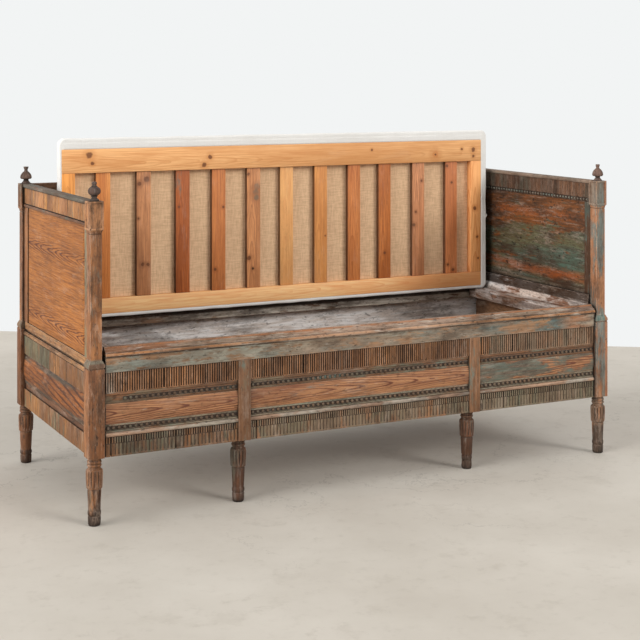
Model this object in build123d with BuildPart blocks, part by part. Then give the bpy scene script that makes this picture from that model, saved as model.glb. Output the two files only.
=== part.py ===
from build123d import *
import os

# A Gustavian pull-out bench bed in pine. Millimetres, +Z up, X along the bench, the front at -Y.
# The origin is on the floor under the centre of the four corner posts.
# A fixed frame (posts, ends, back) holds a sliding front section and a loose seat lid.

# ---------------------------------------------------------------- driving dimensions
# The seat lid's length and the pull-out's travel set the plan of the bench.
lid_length = 1700.0
lid_end_room = 124.0
pull_out_travel = 550.0

# Corner posts: a turned leg, a square block, a slim shaft and a top block.
block_size = 49.5
shaft_size = 35.0
top_block_size = 44.0
shaft_chamfer = 8.0
top_block_chamfer = 7.0
case_bottom = 198.0
lower_block_top = 462.0
collar_top = 484.0
neck_bottom = 853.0
top_block_bottom = 866.0
post_top = 950.0
foot_radius = 19.0
foot_edge_width = 4.0
foot_ring_radius = 20.5
foot_ring_level = 38.0
foot_ring_height = 8.0
leg_radius = 19.8
bulb_radius = 25.0
bulb_lower_radius = 23.0
bulb_upper_radius = 20.0
bulb_cove_height = 5.0
bulb_bottom = 114.0
bulb_top = 167.0
ring_radius = 21.5
ring_neck_radius = 18.5
ring_groove_radius = 19.5
lower_ring_level = 176.0
ring_groove_level = 182.0
upper_ring_level = 188.0
ring_neck_level = 171.0
neck_radius = 19.0

# Finials on the posts.
finial_height = 57.0
finial_radius = 20.0
finial_base_radius = 17.0
finial_base_height = 3.0
finial_cove_radius = 11.5
finial_cove_level = 7.0
finial_neck_radius = 9.5
finial_neck_level = 13.5
dome_bottom_radius = 19.5
dome_bottom_level = 16.5
dome_widest_level = 21.0
dome_shoulder_radius = 16.0
dome_shoulder_level = 34.0
knob_base_radius = 5.0
knob_base_level = 43.0
knob_radius = 8.0
knob_edge_height = 5.0
finial_dowel_radius = 6.0
finial_dowel_length = 16.0

# Mortise and tenon joints.
tenon_thickness = 10.0
tenon_length = 14.0
tenon_shoulder = 14.0
seat_rail_shoulder = 4.0
joint_clearance = 0.3

# Ends.
end_rail_thickness = 26.0
end_cap_projection = 4.0
end_cap_height = 12.0
end_top_rail_height = 78.0
end_bead_height = 12.0
end_bead_projection = 1.5
end_stile_width = 44.0
end_stile_thickness = 22.0
end_panel_thickness = 14.0
end_field_outer_height = 4.0
end_field_inner_height = 3.0
end_field_margin = 16.0
seat_rail_step_depth = 3.0
quirk_depth = 8.0
quirk_height = 9.0
panel_groove_depth = 5.0
seat_rail_bottom = 438.0
nosing_height = 14.0
nosing_projection = 2.0
nosing_lower_edge = 4.0
nosing_upper_edge = 5.0
side_board_thickness = 20.0
side_strip_thickness = 6.0
side_panel_thickness = 8.0
side_panel_bottom = 288.0
side_panel_top = 358.0
side_panel_crown = 4.0
side_cove_depth = 5.0
side_cove_height = 8.0
side_fillet_height = 14.0
side_lower_strip_top = 258.0
side_upper_strip_bottom = 376.0

# Seat ledges around the box.
seat_level = 493.0
ledge_thickness = 35.0
ledge_width = 79.0
back_ledge_width = 50.0
back_ledge_thickness = 41.0
ledge_slope_width = 15.0
ledge_slope_height = 19.0
ledge_front_gap = 1.0
skirting_bottom = 499.0
skirting_top = 548.0
skirting_thickness = 6.0

# Back.
back_rail_thickness = 26.0
back_top_rail_height = 97.0
back_board_thickness = 22.0
back_panel_thickness = 14.0
back_panel_boards = 3

# Sliding front section.
front_gap = 4.0
front_board_thickness = 16.0
front_board_face = 8.0
front_strip_thickness = 8.0
front_stile_thickness = 12.0
front_stile_width = 41.0
middle_leg_x = (-440.0, 393.0)
lower_strip_top = 256.0
half_round_height = 13.0
half_round_projection = 3.0
half_round_edge_depth = 2.0
front_panel_bottom = 293.0
front_panel_top = 353.0
upper_strip_bottom = 384.0
upper_strip_top = 446.0
bead_strip_thickness = 3.0
bead_radius = 4.5
bead_height = 13.0
front_panel_crown = 4.0
frieze_face = 18.0
lip_bottom = 490.0
lip_height = 29.0
lip_face = 24.0
lip_inner = 10.0
lip_top_depth = 22.0
lip_edge_depth = 3.0
lip_edge_height = 4.0
lip_hollow_depth = 13.0
lip_hollow_height = 10.0
lip_step_depth = 5.0
lip_step_height = 13.0
lip_nose_height = 16.0
lip_nose_level = 6.0
side_wall_thickness = 18.0
side_top_clearance = 1.2
slide_clearance = 0.3

# Bearers and interleaved bed slats.
bearer_thickness = 20.0
bearer_top = 222.0
runner_width = 49.0
middle_bearer_width = 50.0
middle_bearer_gap = 90.0
front_bearer_width = 24.0
slat_gap = 8.0
slat_end_gap = 5.25
slat_thickness = 18.0
bed_slats = 27
stop_width = 20.0
stop_clearance = 1.0
stop_rear_gap = 8.25

# Seat lid: a slatted frame with a padded, linen covered top.
lid_thickness = 100.0
lid_centre_x = 16.0
lid_front_gap = 13.0
lid_back_gap = 6.0
lid_rim = 18.0
lid_far_rim = 38.0
lid_near_rim = 13.0
lid_frame_shift = -8.0
lid_frame_thickness = 28.0
lid_far_rail_height = 81.0
lid_near_rail_height = 52.0
lid_end_rail_width = 46.0
lid_slat_inset = 92.5
lid_first_slat_shift = 7.5
lid_slat_drift = (0, 7, 12, 9, 5, -3, -4, -5, -14, -7, 0)
lid_slat_width = 50.0
lid_slat_thickness = 19.0
lid_slat_recess = 6.0
burlap_thickness = 2.0

# ---------------------------------------------------------------- derived places
block_half = block_size / 2
post_x = (lid_length + lid_end_room) / 2
slide_room = stop_clearance + stop_width + stop_rear_gap + bearer_thickness + block_half
post_y = (middle_bearer_gap + middle_bearer_width + pull_out_travel + slide_room) / 2
shaft_half = shaft_size / 2
top_half = top_block_size / 2
end_inner = end_rail_thickness / 2
end_top_rail_bottom = post_top - end_top_rail_height
side_board_outer = side_board_thickness - end_inner
front_board_back = front_board_thickness - front_board_face
front_half_length = post_x - block_half - front_gap
inside_x = post_x - end_inner
slat_deck = bearer_top + slide_clearance
lid_front = post_y - top_half - lid_back_gap - lid_thickness
lid_depth = lid_front + post_y - lip_inner - lid_front_gap
lid_left = lid_centre_x - lid_length / 2
lid_right = lid_centre_x + lid_length / 2
lid_bottom = seat_level + slide_clearance
lid_top = lid_bottom + lid_depth
back_board_front = post_y - block_half
back_ledge_front = back_board_front - back_ledge_width

os.makedirs("parts", exist_ok=True)


# ---------------------------------------------------------------- shared helpers
def section_along_x(x):
    """Plane of a section that runs along X: sketch coordinates are (y, z)."""
    return Plane.YZ.offset(x)


def section_along_y(y):
    """Plane of a section at y whose extrusion comes forward, towards -Y: coordinates are (x, z)."""
    return Plane(origin=(0, y, 0), x_dir=(1, 0, 0), z_dir=(0, -1, 0))


def save(piece, label):
    """Label a finished piece and write it to its own STEP file."""
    piece.part.label = label
    export_step(piece.part, f"parts/{label}.step")


def add_box(x, y, z, mode=Mode.ADD):
    """Add a box to the piece being built, from its low and high limits in X, Y and Z."""
    with Locations(((x[0] + x[1]) / 2, (y[0] + y[1]) / 2, (z[0] + z[1]) / 2)):
        Box(x[1] - x[0], y[1] - y[0], z[1] - z[0], mode=mode)


def make_board(label, x, y, z):
    """Make a plain board from its limits in X, Y and Z."""
    with BuildPart() as board:
        add_box(x, y, z)
    save(board, label)


def mirrored(side, low, high):
    """Return an X range given as distances from the middle, on the left (-1) or right (+1)."""
    return (side * low, side * high) if side > 0 else (side * high, side * low)


# ---------------------------------------------------------------- corner posts and legs
def add_turned_leg(x, y):
    """Add the turned leg under a block: rounded foot, plain shaft, bulb and two rings."""
    with BuildSketch(Plane(origin=(x, y, 0), x_dir=(1, 0, 0), z_dir=(0, -1, 0))) as profile:
        with BuildLine():
            Polyline(
                (0, 0),
                (foot_radius - foot_edge_width, 0),
                (foot_radius, foot_edge_width),
                (foot_radius, foot_ring_level - foot_ring_height / 2),
                (foot_ring_radius, foot_ring_level),
                (foot_radius, foot_ring_level + foot_ring_height / 2),
                (leg_radius, bulb_bottom - bulb_cove_height),
                (bulb_lower_radius, bulb_bottom),
            )
            ThreePointArc(
                (bulb_lower_radius, bulb_bottom),
                (bulb_radius, (bulb_bottom + bulb_top) / 2),
                (bulb_upper_radius, bulb_top),
            )
            Polyline(
                (bulb_upper_radius, bulb_top),
                (ring_neck_radius, ring_neck_level),
                (ring_radius, lower_ring_level),
                (ring_groove_radius, ring_groove_level),
                (ring_radius, upper_ring_level),
                (neck_radius, case_bottom),
                (0, case_bottom),
                (0, 0),
            )
        make_face()
    revolve(profile.sketch, axis=Axis((x, y, 0), (0, 0, 1)))


def end_tenon_ranges():
    """Heights of the tenons that come into a post from an end: side board, seat rail, top rail."""
    side_middle = (case_bottom + seat_rail_bottom) / 2
    return (
        (case_bottom + tenon_shoulder, side_middle - tenon_shoulder),
        (side_middle + tenon_shoulder, seat_rail_bottom - tenon_shoulder),
        (seat_rail_bottom + seat_rail_shoulder, lower_block_top - joint_clearance),
        (end_top_rail_bottom + tenon_shoulder, post_top - tenon_shoulder),
    )


def back_tenon_ranges():
    """Heights of the tenons that come into a back post from the back: lower board and top rail."""
    board_middle = (case_bottom + collar_top) / 2
    return (
        (case_bottom + tenon_shoulder, board_middle - tenon_shoulder),
        (board_middle + tenon_shoulder, lower_block_top - tenon_shoulder),
        (post_top - back_top_rail_height + 2 * tenon_shoulder, post_top - tenon_shoulder),
    )


def post_half_at(height):
    """Half the width of a post block at a tenon's height."""
    return top_half if height > top_block_bottom else block_half


def cut_end_mortises(x, y, inward_y):
    """Cut the mortises that take the end's tenons, on the post face that looks inward along Y."""
    for low, high in end_tenon_ranges():
        face = y + inward_y * post_half_at(low)
        bottom = face - inward_y * (tenon_length + joint_clearance)
        half = tenon_thickness / 2 + joint_clearance
        add_box(
            (x - half, x + half),
            (min(face, bottom), max(face, bottom)),
            (low - joint_clearance, high + joint_clearance),
            mode=Mode.SUBTRACT,
        )


def back_tenon_y(height):
    """Middle of a back tenon's thickness: lower board or top rail."""
    if height > top_block_bottom:
        return post_y - top_half + back_rail_thickness / 2
    return back_board_front + back_board_thickness / 2


def cut_back_mortises(x, inward_x):
    """Cut the mortises that take the back's tenons, on the post face that looks inward along X."""
    for low, high in back_tenon_ranges():
        face = x + inward_x * post_half_at(low)
        bottom = face - inward_x * (tenon_length + joint_clearance)
        half = tenon_thickness / 2 + joint_clearance
        middle = back_tenon_y(low)
        add_box(
            (min(face, bottom), max(face, bottom)),
            (middle - half, middle + half),
            (low - joint_clearance, high + joint_clearance),
            mode=Mode.SUBTRACT,
        )


def make_post(label, x, y):
    """Make a corner post with its leg, block, chamfered shaft, neck and top block."""
    with BuildPart() as post:
        add_turned_leg(x, y)
        with BuildSketch(Plane.XY.offset(case_bottom)):
            with Locations((x, y)):
                Rectangle(block_size, block_size)
        extrude(amount=lower_block_top - case_bottom)
        with BuildSketch(Plane.XY.offset(lower_block_top)):
            with Locations((x, y)):
                Rectangle(block_size, block_size)
        with BuildSketch(Plane.XY.offset(collar_top)) as shaft_foot:
            with Locations((x, y)):
                Rectangle(shaft_size, shaft_size)
            chamfer(shaft_foot.vertices(), shaft_chamfer)
        loft(ruled=True)
        with BuildSketch(Plane.XY.offset(collar_top)) as shaft:
            with Locations((x, y)):
                Rectangle(shaft_size, shaft_size)
            chamfer(shaft.vertices(), shaft_chamfer)
        extrude(amount=neck_bottom - collar_top)
        with BuildSketch(Plane.XY.offset(neck_bottom)):
            with Locations((x, y)):
                Circle(neck_radius)
        extrude(amount=top_block_bottom - neck_bottom)
        with BuildSketch(Plane.XY.offset(top_block_bottom)) as top_block:
            with Locations((x, y)):
                Rectangle(top_block_size, top_block_size)
            chamfer(top_block.vertices(), top_block_chamfer)
        extrude(amount=post_top - top_block_bottom)
        with BuildSketch(Plane.XY.offset(post_top)):
            with Locations((x, y)):
                Circle(finial_dowel_radius)
        extrude(amount=-(finial_dowel_length + joint_clearance), mode=Mode.SUBTRACT)
        cut_end_mortises(x, y, -1 if y > 0 else 1)
        if y > 0:
            cut_back_mortises(x, -1 if x > 0 else 1)
    save(post, label)


def add_finial(x, y):
    """Turn a finial on its dowel: flared base, neck, flat-bottomed dome and a small knob."""
    dowel = finial_dowel_radius - joint_clearance / 3
    with BuildSketch(Plane(origin=(x, y, post_top), x_dir=(1, 0, 0), z_dir=(0, -1, 0))) as profile:
        with BuildLine():
            Polyline(
                (0, -finial_dowel_length),
                (dowel, -finial_dowel_length),
                (dowel, 0),
                (finial_base_radius, 0),
                (finial_base_radius, finial_base_height),
            )
            ThreePointArc(
                (finial_base_radius, finial_base_height),
                (finial_cove_radius, finial_cove_level),
                (finial_neck_radius, finial_neck_level),
            )
            Line((finial_neck_radius, finial_neck_level), (dome_bottom_radius, dome_bottom_level))
            Spline(
                (dome_bottom_radius, dome_bottom_level),
                (finial_radius, dome_widest_level),
                (dome_shoulder_radius, dome_shoulder_level),
                (knob_base_radius, knob_base_level),
            )
            ThreePointArc(
                (knob_base_radius, knob_base_level),
                (knob_radius, finial_height - knob_edge_height),
                (knob_base_radius, finial_height),
            )
            Polyline(
                (knob_base_radius, finial_height),
                (0, finial_height),
                (0, -finial_dowel_length),
            )
        make_face()
    revolve(profile.sketch, axis=Axis((x, y, 0), (0, 0, 1)))


corner_signs = [(side_x, side_y) for side_y in (-1, 1) for side_x in (-1, 1)]
for side_x, side_y in corner_signs:
    depth_word = "front" if side_y < 0 else "back"
    side_word = "left" if side_x < 0 else "right"
    make_post(f"{depth_word}_{side_word}_post", side_x * post_x, side_y * post_y)

with BuildPart() as corner_finials:
    for side_x, side_y in corner_signs:
        add_finial(side_x * post_x, side_y * post_y)
save(corner_finials, "corner_finials")


# ---------------------------------------------------------------- the two ends
def end_range(side, inner, outer):
    """X range of a piece of an end, given as offsets from the post axis, outwards positive."""
    return mirrored(side, post_x + inner, post_x + outer)


def add_end_tenons(side, ranges):
    """Add a tenon at both ends of a rail or board of an end, in the middle of its thickness."""
    for low, high in ranges:
        reach = post_y - post_half_at(low)
        half = tenon_thickness / 2
        for inward in (-1, 1):
            near = inward * reach
            far = inward * (reach + tenon_length)
            add_box(
                end_range(side, -half, half),
                (min(near, far), max(near, far)),
                (low, high),
            )


def make_end_top_rail(side, word):
    """Make the top rail of an end: fascia, projecting cap, bead and a groove for the panel."""
    reach = post_y - top_half
    cap = end_inner + end_cap_projection
    cap_bottom = post_top - end_cap_height
    bead_top = end_top_rail_bottom + end_bead_height
    with BuildPart() as rail:
        with BuildSketch(section_along_y(reach)):
            with BuildLine():
                Polyline(
                    (side * (post_x - end_inner), end_top_rail_bottom),
                    (side * (post_x + end_inner + end_bead_projection), end_top_rail_bottom),
                    (side * (post_x + end_inner + end_bead_projection), bead_top),
                    (side * (post_x + end_inner - end_bead_projection), bead_top),
                    (side * (post_x + end_inner - end_bead_projection), cap_bottom),
                    (side * (post_x + cap), cap_bottom + end_cap_projection),
                    (side * (post_x + cap), post_top),
                    (side * (post_x - cap), post_top),
                    (side * (post_x - cap), cap_bottom + end_cap_projection),
                    (side * (post_x - end_inner), cap_bottom),
                    (side * (post_x - end_inner), end_top_rail_bottom),
                )
            make_face()
        extrude(amount=2 * reach)
        add_box(
            end_range(side, -groove_half, groove_half),
            (-reach, reach),
            (end_top_rail_bottom, end_top_rail_bottom + groove_depth),
            mode=Mode.SUBTRACT,
        )
        add_end_tenons(side, end_tenon_ranges()[3:])
    save(rail, f"{word}_top_rail")


def make_seat_rail(side, word):
    """Make the rail under an end's panel: a nosing, a quirk above it and the panel's groove."""
    reach = post_y - block_half
    nosing = end_inner + nosing_projection
    nosing_top = seat_rail_bottom + nosing_height
    quirk = end_inner - quirk_depth
    rail_face = end_inner - seat_rail_step_depth
    with BuildPart() as rail:
        with BuildSketch(section_along_y(reach)):
            with BuildLine():
                Polyline(
                    (side * (post_x - end_inner), seat_rail_bottom),
                    (side * (post_x + nosing - nosing_lower_edge), seat_rail_bottom),
                    (side * (post_x + nosing), seat_rail_bottom + nosing_lower_edge),
                    (side * (post_x + nosing), nosing_top - nosing_upper_edge),
                    (side * (post_x + nosing - nosing_upper_edge), nosing_top),
                    (side * (post_x + quirk), nosing_top),
                    (side * (post_x + quirk), nosing_top + quirk_height),
                    (side * (post_x + rail_face), nosing_top + quirk_height),
                    (side * (post_x + rail_face), collar_top),
                    (side * (post_x - end_inner), collar_top),
                    (side * (post_x - end_inner), seat_rail_bottom),
                )
            make_face()
        extrude(amount=2 * reach)
        add_box(
            end_range(side, -groove_half, groove_half),
            (-reach, reach),
            (collar_top - groove_depth, collar_top),
            mode=Mode.SUBTRACT,
        )
        add_end_tenons(side, end_tenon_ranges()[2:3])
    save(rail, f"{word}_seat_rail")


def add_end_stile(side, inward):
    """Add the slim upright between a post's shaft and an end's panel, with the panel's groove."""
    half = end_stile_thickness / 2
    shaft_face = inward * (post_y - shaft_half)
    neck_face = inward * (post_y - top_half)
    edge = inward * (post_y - shaft_half - end_stile_width)
    groove = edge + inward * groove_depth
    x = end_range(side, -half, half)
    add_box(x, (min(edge, shaft_face), max(edge, shaft_face)), (collar_top, neck_bottom))
    add_box(x, (min(edge, neck_face), max(edge, neck_face)), (neck_bottom, end_top_rail_bottom))
    add_box(
        end_range(side, -groove_half, groove_half),
        (min(edge, groove), max(edge, groove)),
        (collar_top, end_top_rail_bottom),
        mode=Mode.SUBTRACT,
    )


def make_end_panel(side, word):
    """Make the solid panel of an end, with a raised field on both faces and its tongue all round."""
    tongue = panel_groove_depth
    half = end_panel_thickness / 2
    edge = post_y - shaft_half - end_stile_width
    field = edge - end_field_margin
    bottom = collar_top + end_field_margin
    top = end_top_rail_bottom - end_field_margin
    with BuildPart() as panel:
        add_box(
            end_range(side, -half, half),
            (-edge - tongue, edge + tongue),
            (collar_top - tongue, end_top_rail_bottom + tongue),
        )
        add_box(end_range(side, half, half + end_field_outer_height), (-field, field), (bottom, top))
        add_box(
            end_range(side, -half - end_field_inner_height, -half),
            (-field, field),
            (skirting_top + end_field_margin, top),
        )
    save(panel, f"{word}_end_panel")


def make_ledge(side, word):
    """Make the ledge that carries the lid along an end, with its slope and its skirting."""
    inner = inside_x - ledge_width
    post_face = post_x - block_half
    low = seat_level - ledge_thickness
    slope_foot = post_face - ledge_slope_width
    slope_top = seat_level + ledge_slope_height
    front = -post_y + lip_inner + ledge_front_gap
    reach = post_y - block_half - joint_clearance
    with BuildPart() as ledge:
        with BuildSketch(section_along_y(back_ledge_front)):
            with BuildLine():
                Polyline(
                    (side * inner, low),
                    (side * (post_face - joint_clearance), low),
                    (side * (post_face - joint_clearance), slope_top),
                    (side * slope_foot, seat_level),
                    (side * inner, seat_level),
                    (side * inner, low),
                )
            make_face()
        extrude(amount=back_ledge_front - front)
        with BuildSketch(section_along_y(reach)):
            with BuildLine():
                Polyline(
                    (side * (post_face - joint_clearance), slope_top),
                    (side * (post_face - joint_clearance), skirting_bottom),
                    (side * inside_x, skirting_bottom),
                    (side * inside_x, skirting_top),
                    (side * (inside_x - skirting_thickness), skirting_top),
                    (side * (post_face - joint_clearance), slope_top),
                )
            make_face()
        extrude(amount=2 * reach)
        add_box(
            mirrored(side, post_face - joint_clearance, inside_x),
            (-reach, back_ledge_front),
            (low, skirting_bottom),
        )
    save(ledge, f"{word}_seat_ledge")


def make_side_board(side, word):
    """Make the board that closes the lower case at an end, tenoned into both posts."""
    reach = post_y - block_half
    with BuildPart() as board:
        add_box(
            end_range(side, -end_inner, side_board_outer),
            (-reach, reach),
            (case_bottom, seat_rail_bottom),
        )
        add_end_tenons(side, end_tenon_ranges()[:2])
    save(board, f"{word}_side_board")


def make_side_panel(side, word):
    """Make the cushion-shaped raised board on the lower case, between cove and fillet edges."""
    reach = post_y - block_half
    face = post_x + side_board_outer + side_panel_thickness
    edge = side * (post_x + side_board_outer)
    crown = side * face
    shoulder = side * (face - side_panel_crown)
    cove = side * (face - side_cove_depth)
    middle = (side_panel_bottom + side_panel_top) / 2
    cove_low = side_panel_bottom - side_cove_height
    cove_high = side_panel_top + side_cove_height
    fillet_low = side_panel_bottom - side_fillet_height
    fillet_high = side_panel_top + side_fillet_height
    with BuildPart() as panel:
        with BuildSketch(section_along_y(reach)):
            with BuildLine():
                Line((edge, fillet_low), (edge, fillet_high))
                Line((edge, fillet_high), (cove, cove_high))
                Line((cove, cove_high), (shoulder, side_panel_top))
                ThreePointArc(
                    (shoulder, side_panel_top),
                    (crown, middle),
                    (shoulder, side_panel_bottom),
                )
                Line((shoulder, side_panel_bottom), (cove, cove_low))
                Line((cove, cove_low), (edge, fillet_low))
            make_face()
        extrude(amount=2 * reach)
    save(panel, f"{word}_side_panel")


def make_side_strips(side, word):
    """Make the two flat strips, upper and lower, planted on the lower case."""
    reach = post_y - block_half
    x = end_range(side, side_board_outer, side_board_outer + side_strip_thickness)
    y = (-reach, reach)
    make_board(f"{word}_side_lower_strip", x, y, (case_bottom, side_lower_strip_top))
    make_board(f"{word}_side_upper_strip", x, y, (side_upper_strip_bottom, seat_rail_bottom))


groove_half = end_panel_thickness / 2 + joint_clearance / 2
groove_depth = panel_groove_depth + joint_clearance
for side, word in ((-1, "left"), (1, "right")):
    make_end_top_rail(side, word)
    make_seat_rail(side, word)
    make_end_panel(side, word)
    make_ledge(side, word)
    make_side_board(side, word)
    make_side_panel(side, word)
    make_side_strips(side, word)

with BuildPart() as end_stiles:
    for side_x, side_y in corner_signs:
        add_end_stile(side_x, side_y)
save(end_stiles, "end_stiles")


# ---------------------------------------------------------------- back
def add_back_tenons(ranges):
    """Add the tenons at both ends of a back rail or board."""
    for low, high in ranges:
        reach = post_x - post_half_at(low)
        middle = back_tenon_y(low)
        half = tenon_thickness / 2
        for side in (-1, 1):
            add_box(
                mirrored(side, reach, reach + tenon_length),
                (middle - half, middle + half),
                (low, high),
            )


back_rail_front = post_y - top_half
back_top_rail_bottom = post_top - back_top_rail_height
back_panel_front = back_rail_front + (back_rail_thickness - back_panel_thickness) / 2

with BuildPart() as back_top_rail:
    add_box(
        (-post_x + top_half, post_x - top_half),
        (back_rail_front, back_rail_front + back_rail_thickness),
        (back_top_rail_bottom, post_top),
    )
    add_back_tenons(back_tenon_ranges()[2:])
save(back_top_rail, "back_top_rail")

with BuildPart() as back_panel:
    board_height = (back_top_rail_bottom - collar_top) / back_panel_boards
    for row in range(back_panel_boards):
        add_box(
            (-post_x + shaft_half, post_x - shaft_half),
            (back_panel_front, back_panel_front + back_panel_thickness),
            (
                collar_top + row * board_height + joint_clearance,
                collar_top + (row + 1) * board_height - joint_clearance,
            ),
        )
save(back_panel, "back_panel_boards")

with BuildPart() as back_lower_board:
    add_box(
        (-post_x + block_half, post_x - block_half),
        (back_board_front, back_board_front + back_board_thickness),
        (case_bottom, collar_top),
    )
    add_back_tenons(back_tenon_ranges()[:2])
save(back_lower_board, "back_lower_board")

make_board(
    "back_seat_ledge",
    (-post_x + block_half + joint_clearance, post_x - block_half - joint_clearance),
    (back_ledge_front, back_board_front),
    (seat_level - back_ledge_thickness, seat_level),
)

# ---------------------------------------------------------------- bearers and fixed slats
runner_front = -post_y + middle_bearer_gap
slat_space = 2 * (front_half_length - side_wall_thickness - slat_end_gap)
slat_pitch = (slat_space + slat_gap) / bed_slats
slat_width = slat_pitch - slat_gap
first_slat = -(bed_slats - 1) / 2 * slat_pitch
rail_bottom = bearer_top - bearer_thickness

for side, word in ((-1, "left"), (1, "right")):
    make_board(
        f"{word}_runner",
        mirrored(side, inside_x - runner_width, inside_x),
        (runner_front, back_board_front),
        (rail_bottom, bearer_top),
    )

bearer_x = (-inside_x + runner_width, inside_x - runner_width)
make_board(
    "middle_bearer",
    bearer_x,
    (runner_front, runner_front + middle_bearer_width),
    (rail_bottom, bearer_top),
)
make_board(
    "back_bearer",
    bearer_x,
    (back_board_front - bearer_thickness, back_board_front),
    (rail_bottom, bearer_top),
)

with BuildPart() as fixed_slats:
    for index in range(1, bed_slats, 2):
        centre = first_slat + index * slat_pitch
        add_box(
            (centre - slat_width / 2, centre + slat_width / 2),
            (runner_front, back_board_front),
            (bearer_top, bearer_top + slat_thickness),
        )
save(fixed_slats, "fixed_bed_slats")


# ---------------------------------------------------------------- sliding front section
front_back_y = -post_y + front_board_back
front_face_y = -post_y - front_board_face
strip_face_y = front_face_y - front_strip_thickness
stile_face_y = front_face_y - front_stile_thickness
stile_half = front_stile_width / 2
bay_edges = (-front_half_length, *middle_leg_x, front_half_length)
bays = []
for index, word in enumerate(("left", "middle", "right")):
    low = bay_edges[index] + (stile_half if index > 0 else 0)
    high = bay_edges[index + 1] - (stile_half if index < 2 else 0)
    bays.append((word, low, high))

make_board(
    "front_board",
    (-front_half_length, front_half_length),
    (front_face_y, front_back_y),
    (case_bottom, upper_strip_top),
)
make_board(
    "front_frieze",
    (-front_half_length, front_half_length),
    (-post_y - frieze_face, front_back_y),
    (upper_strip_top, lip_bottom),
)

with BuildPart() as lip_rail:
    front = -post_y - lip_face
    back = -post_y + lip_inner
    top = lip_bottom + lip_height
    nose = front + lip_edge_depth
    edge = front + lip_top_depth - lip_edge_depth
    step = front + lip_step_depth
    with BuildSketch(section_along_x(-front_half_length)):
        with BuildLine():
            Polyline(
                (nose, lip_bottom),
                (back, lip_bottom),
                (back, top),
                (front + lip_top_depth, top),
                (edge, top - lip_edge_height),
            )
            ThreePointArc(
                (edge, top - lip_edge_height),
                (front + lip_hollow_depth, top - lip_hollow_height),
                (step, top - lip_step_height),
            )
            Line((step, top - lip_step_height), (step, top - lip_nose_height))
            ThreePointArc(
                (step, top - lip_nose_height),
                (front, lip_bottom + lip_nose_level),
                (nose, lip_bottom),
            )
        make_face()
    extrude(amount=2 * front_half_length)
save(lip_rail, "lip_rail")

for label, low, high in (
    ("upper_reeded_strips", upper_strip_bottom, upper_strip_top),
    ("lower_reeded_strips", case_bottom, lower_strip_top),
):
    with BuildPart() as reeded_strips:
        for word, left, right in bays:
            add_box((left, right), (strip_face_y, front_face_y), (low, high))
    save(reeded_strips, label)

half_round_bottom = lower_strip_top
half_round_top = lower_strip_top + half_round_height
half_round_middle = (half_round_bottom + half_round_top) / 2
half_round_edge = strip_face_y + half_round_edge_depth
with BuildPart() as half_rounds:
    for word, left, right in bays:
        with BuildSketch(section_along_x(left)):
            with BuildLine():
                Line((front_face_y, half_round_bottom), (front_face_y, half_round_top))
                Line((front_face_y, half_round_top), (half_round_edge, half_round_top))
                ThreePointArc(
                    (half_round_edge, half_round_top),
                    (strip_face_y - half_round_projection, half_round_middle),
                    (half_round_edge, half_round_bottom),
                )
                Line((half_round_edge, half_round_bottom), (front_face_y, half_round_bottom))
            make_face()
        extrude(amount=right - left)
save(half_rounds, "half_round_mouldings")

for label, low, high in (
    ("upper_bead_mouldings", front_panel_top, upper_strip_bottom),
    ("lower_bead_mouldings", half_round_top, front_panel_bottom),
):
    with BuildPart() as bead_mouldings:
        bead_z = low + bead_height
        bead_y = front_face_y - bead_radius
        for word, left, right in bays:
            add_box((left, right), (front_face_y - bead_strip_thickness, front_face_y), (low, high))
            with BuildSketch(section_along_x(left)):
                with Locations((bead_y, bead_z)):
                    Circle(bead_radius)
            extrude(amount=right - left)
    save(bead_mouldings, label)

for word, left, right in bays:
    with BuildPart() as front_panel:
        edge_y = front_face_y - front_strip_thickness + front_panel_crown
        middle = (front_panel_bottom + front_panel_top) / 2
        with BuildSketch(section_along_x(left)):
            with BuildLine():
                Line((front_face_y, front_panel_bottom), (front_face_y, front_panel_top))
                Line((front_face_y, front_panel_top), (edge_y, front_panel_top))
                ThreePointArc(
                    (edge_y, front_panel_top),
                    (edge_y - front_panel_crown, middle),
                    (edge_y, front_panel_bottom),
                )
                Line((edge_y, front_panel_bottom), (front_face_y, front_panel_bottom))
            make_face()
        extrude(amount=right - left)
    save(front_panel, f"{word}_front_panel")

for word, centre in zip(("left", "right"), middle_leg_x):
    make_board(
        f"{word}_front_stile",
        (centre - stile_half, centre + stile_half),
        (stile_face_y, front_face_y),
        (case_bottom, upper_strip_top),
    )
    with BuildPart() as middle_leg:
        leg_y = front_back_y + block_half
        add_turned_leg(centre, leg_y)
        add_box(
            (centre - block_half, centre + block_half),
            (front_back_y, front_back_y + block_size),
            (case_bottom, upper_strip_top),
        )
    save(middle_leg, f"{word}_middle_leg")

stop_front = runner_front + middle_bearer_width + pull_out_travel + stop_clearance
slat_rear = stop_front + stop_width
for side, word in ((-1, "left"), (1, "right")):
    make_board(
        f"{word}_sliding_side",
        mirrored(side, front_half_length - side_wall_thickness, front_half_length),
        (front_back_y, slat_rear),
        (slat_deck, seat_level - back_ledge_thickness - side_top_clearance),
    )

front_bearer_y = front_back_y + block_size
make_board(
    "front_bearer",
    (-front_half_length + side_wall_thickness, front_half_length - side_wall_thickness),
    (front_bearer_y, front_bearer_y + front_bearer_width),
    (rail_bottom, slat_deck),
)
with BuildPart() as sliding_slats:
    for index in range(0, bed_slats, 2):
        centre = first_slat + index * slat_pitch
        add_box(
            (centre - slat_width / 2, centre + slat_width / 2),
            (front_bearer_y, slat_rear),
            (slat_deck, slat_deck + slat_thickness),
        )
save(sliding_slats, "sliding_bed_slats")

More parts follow.
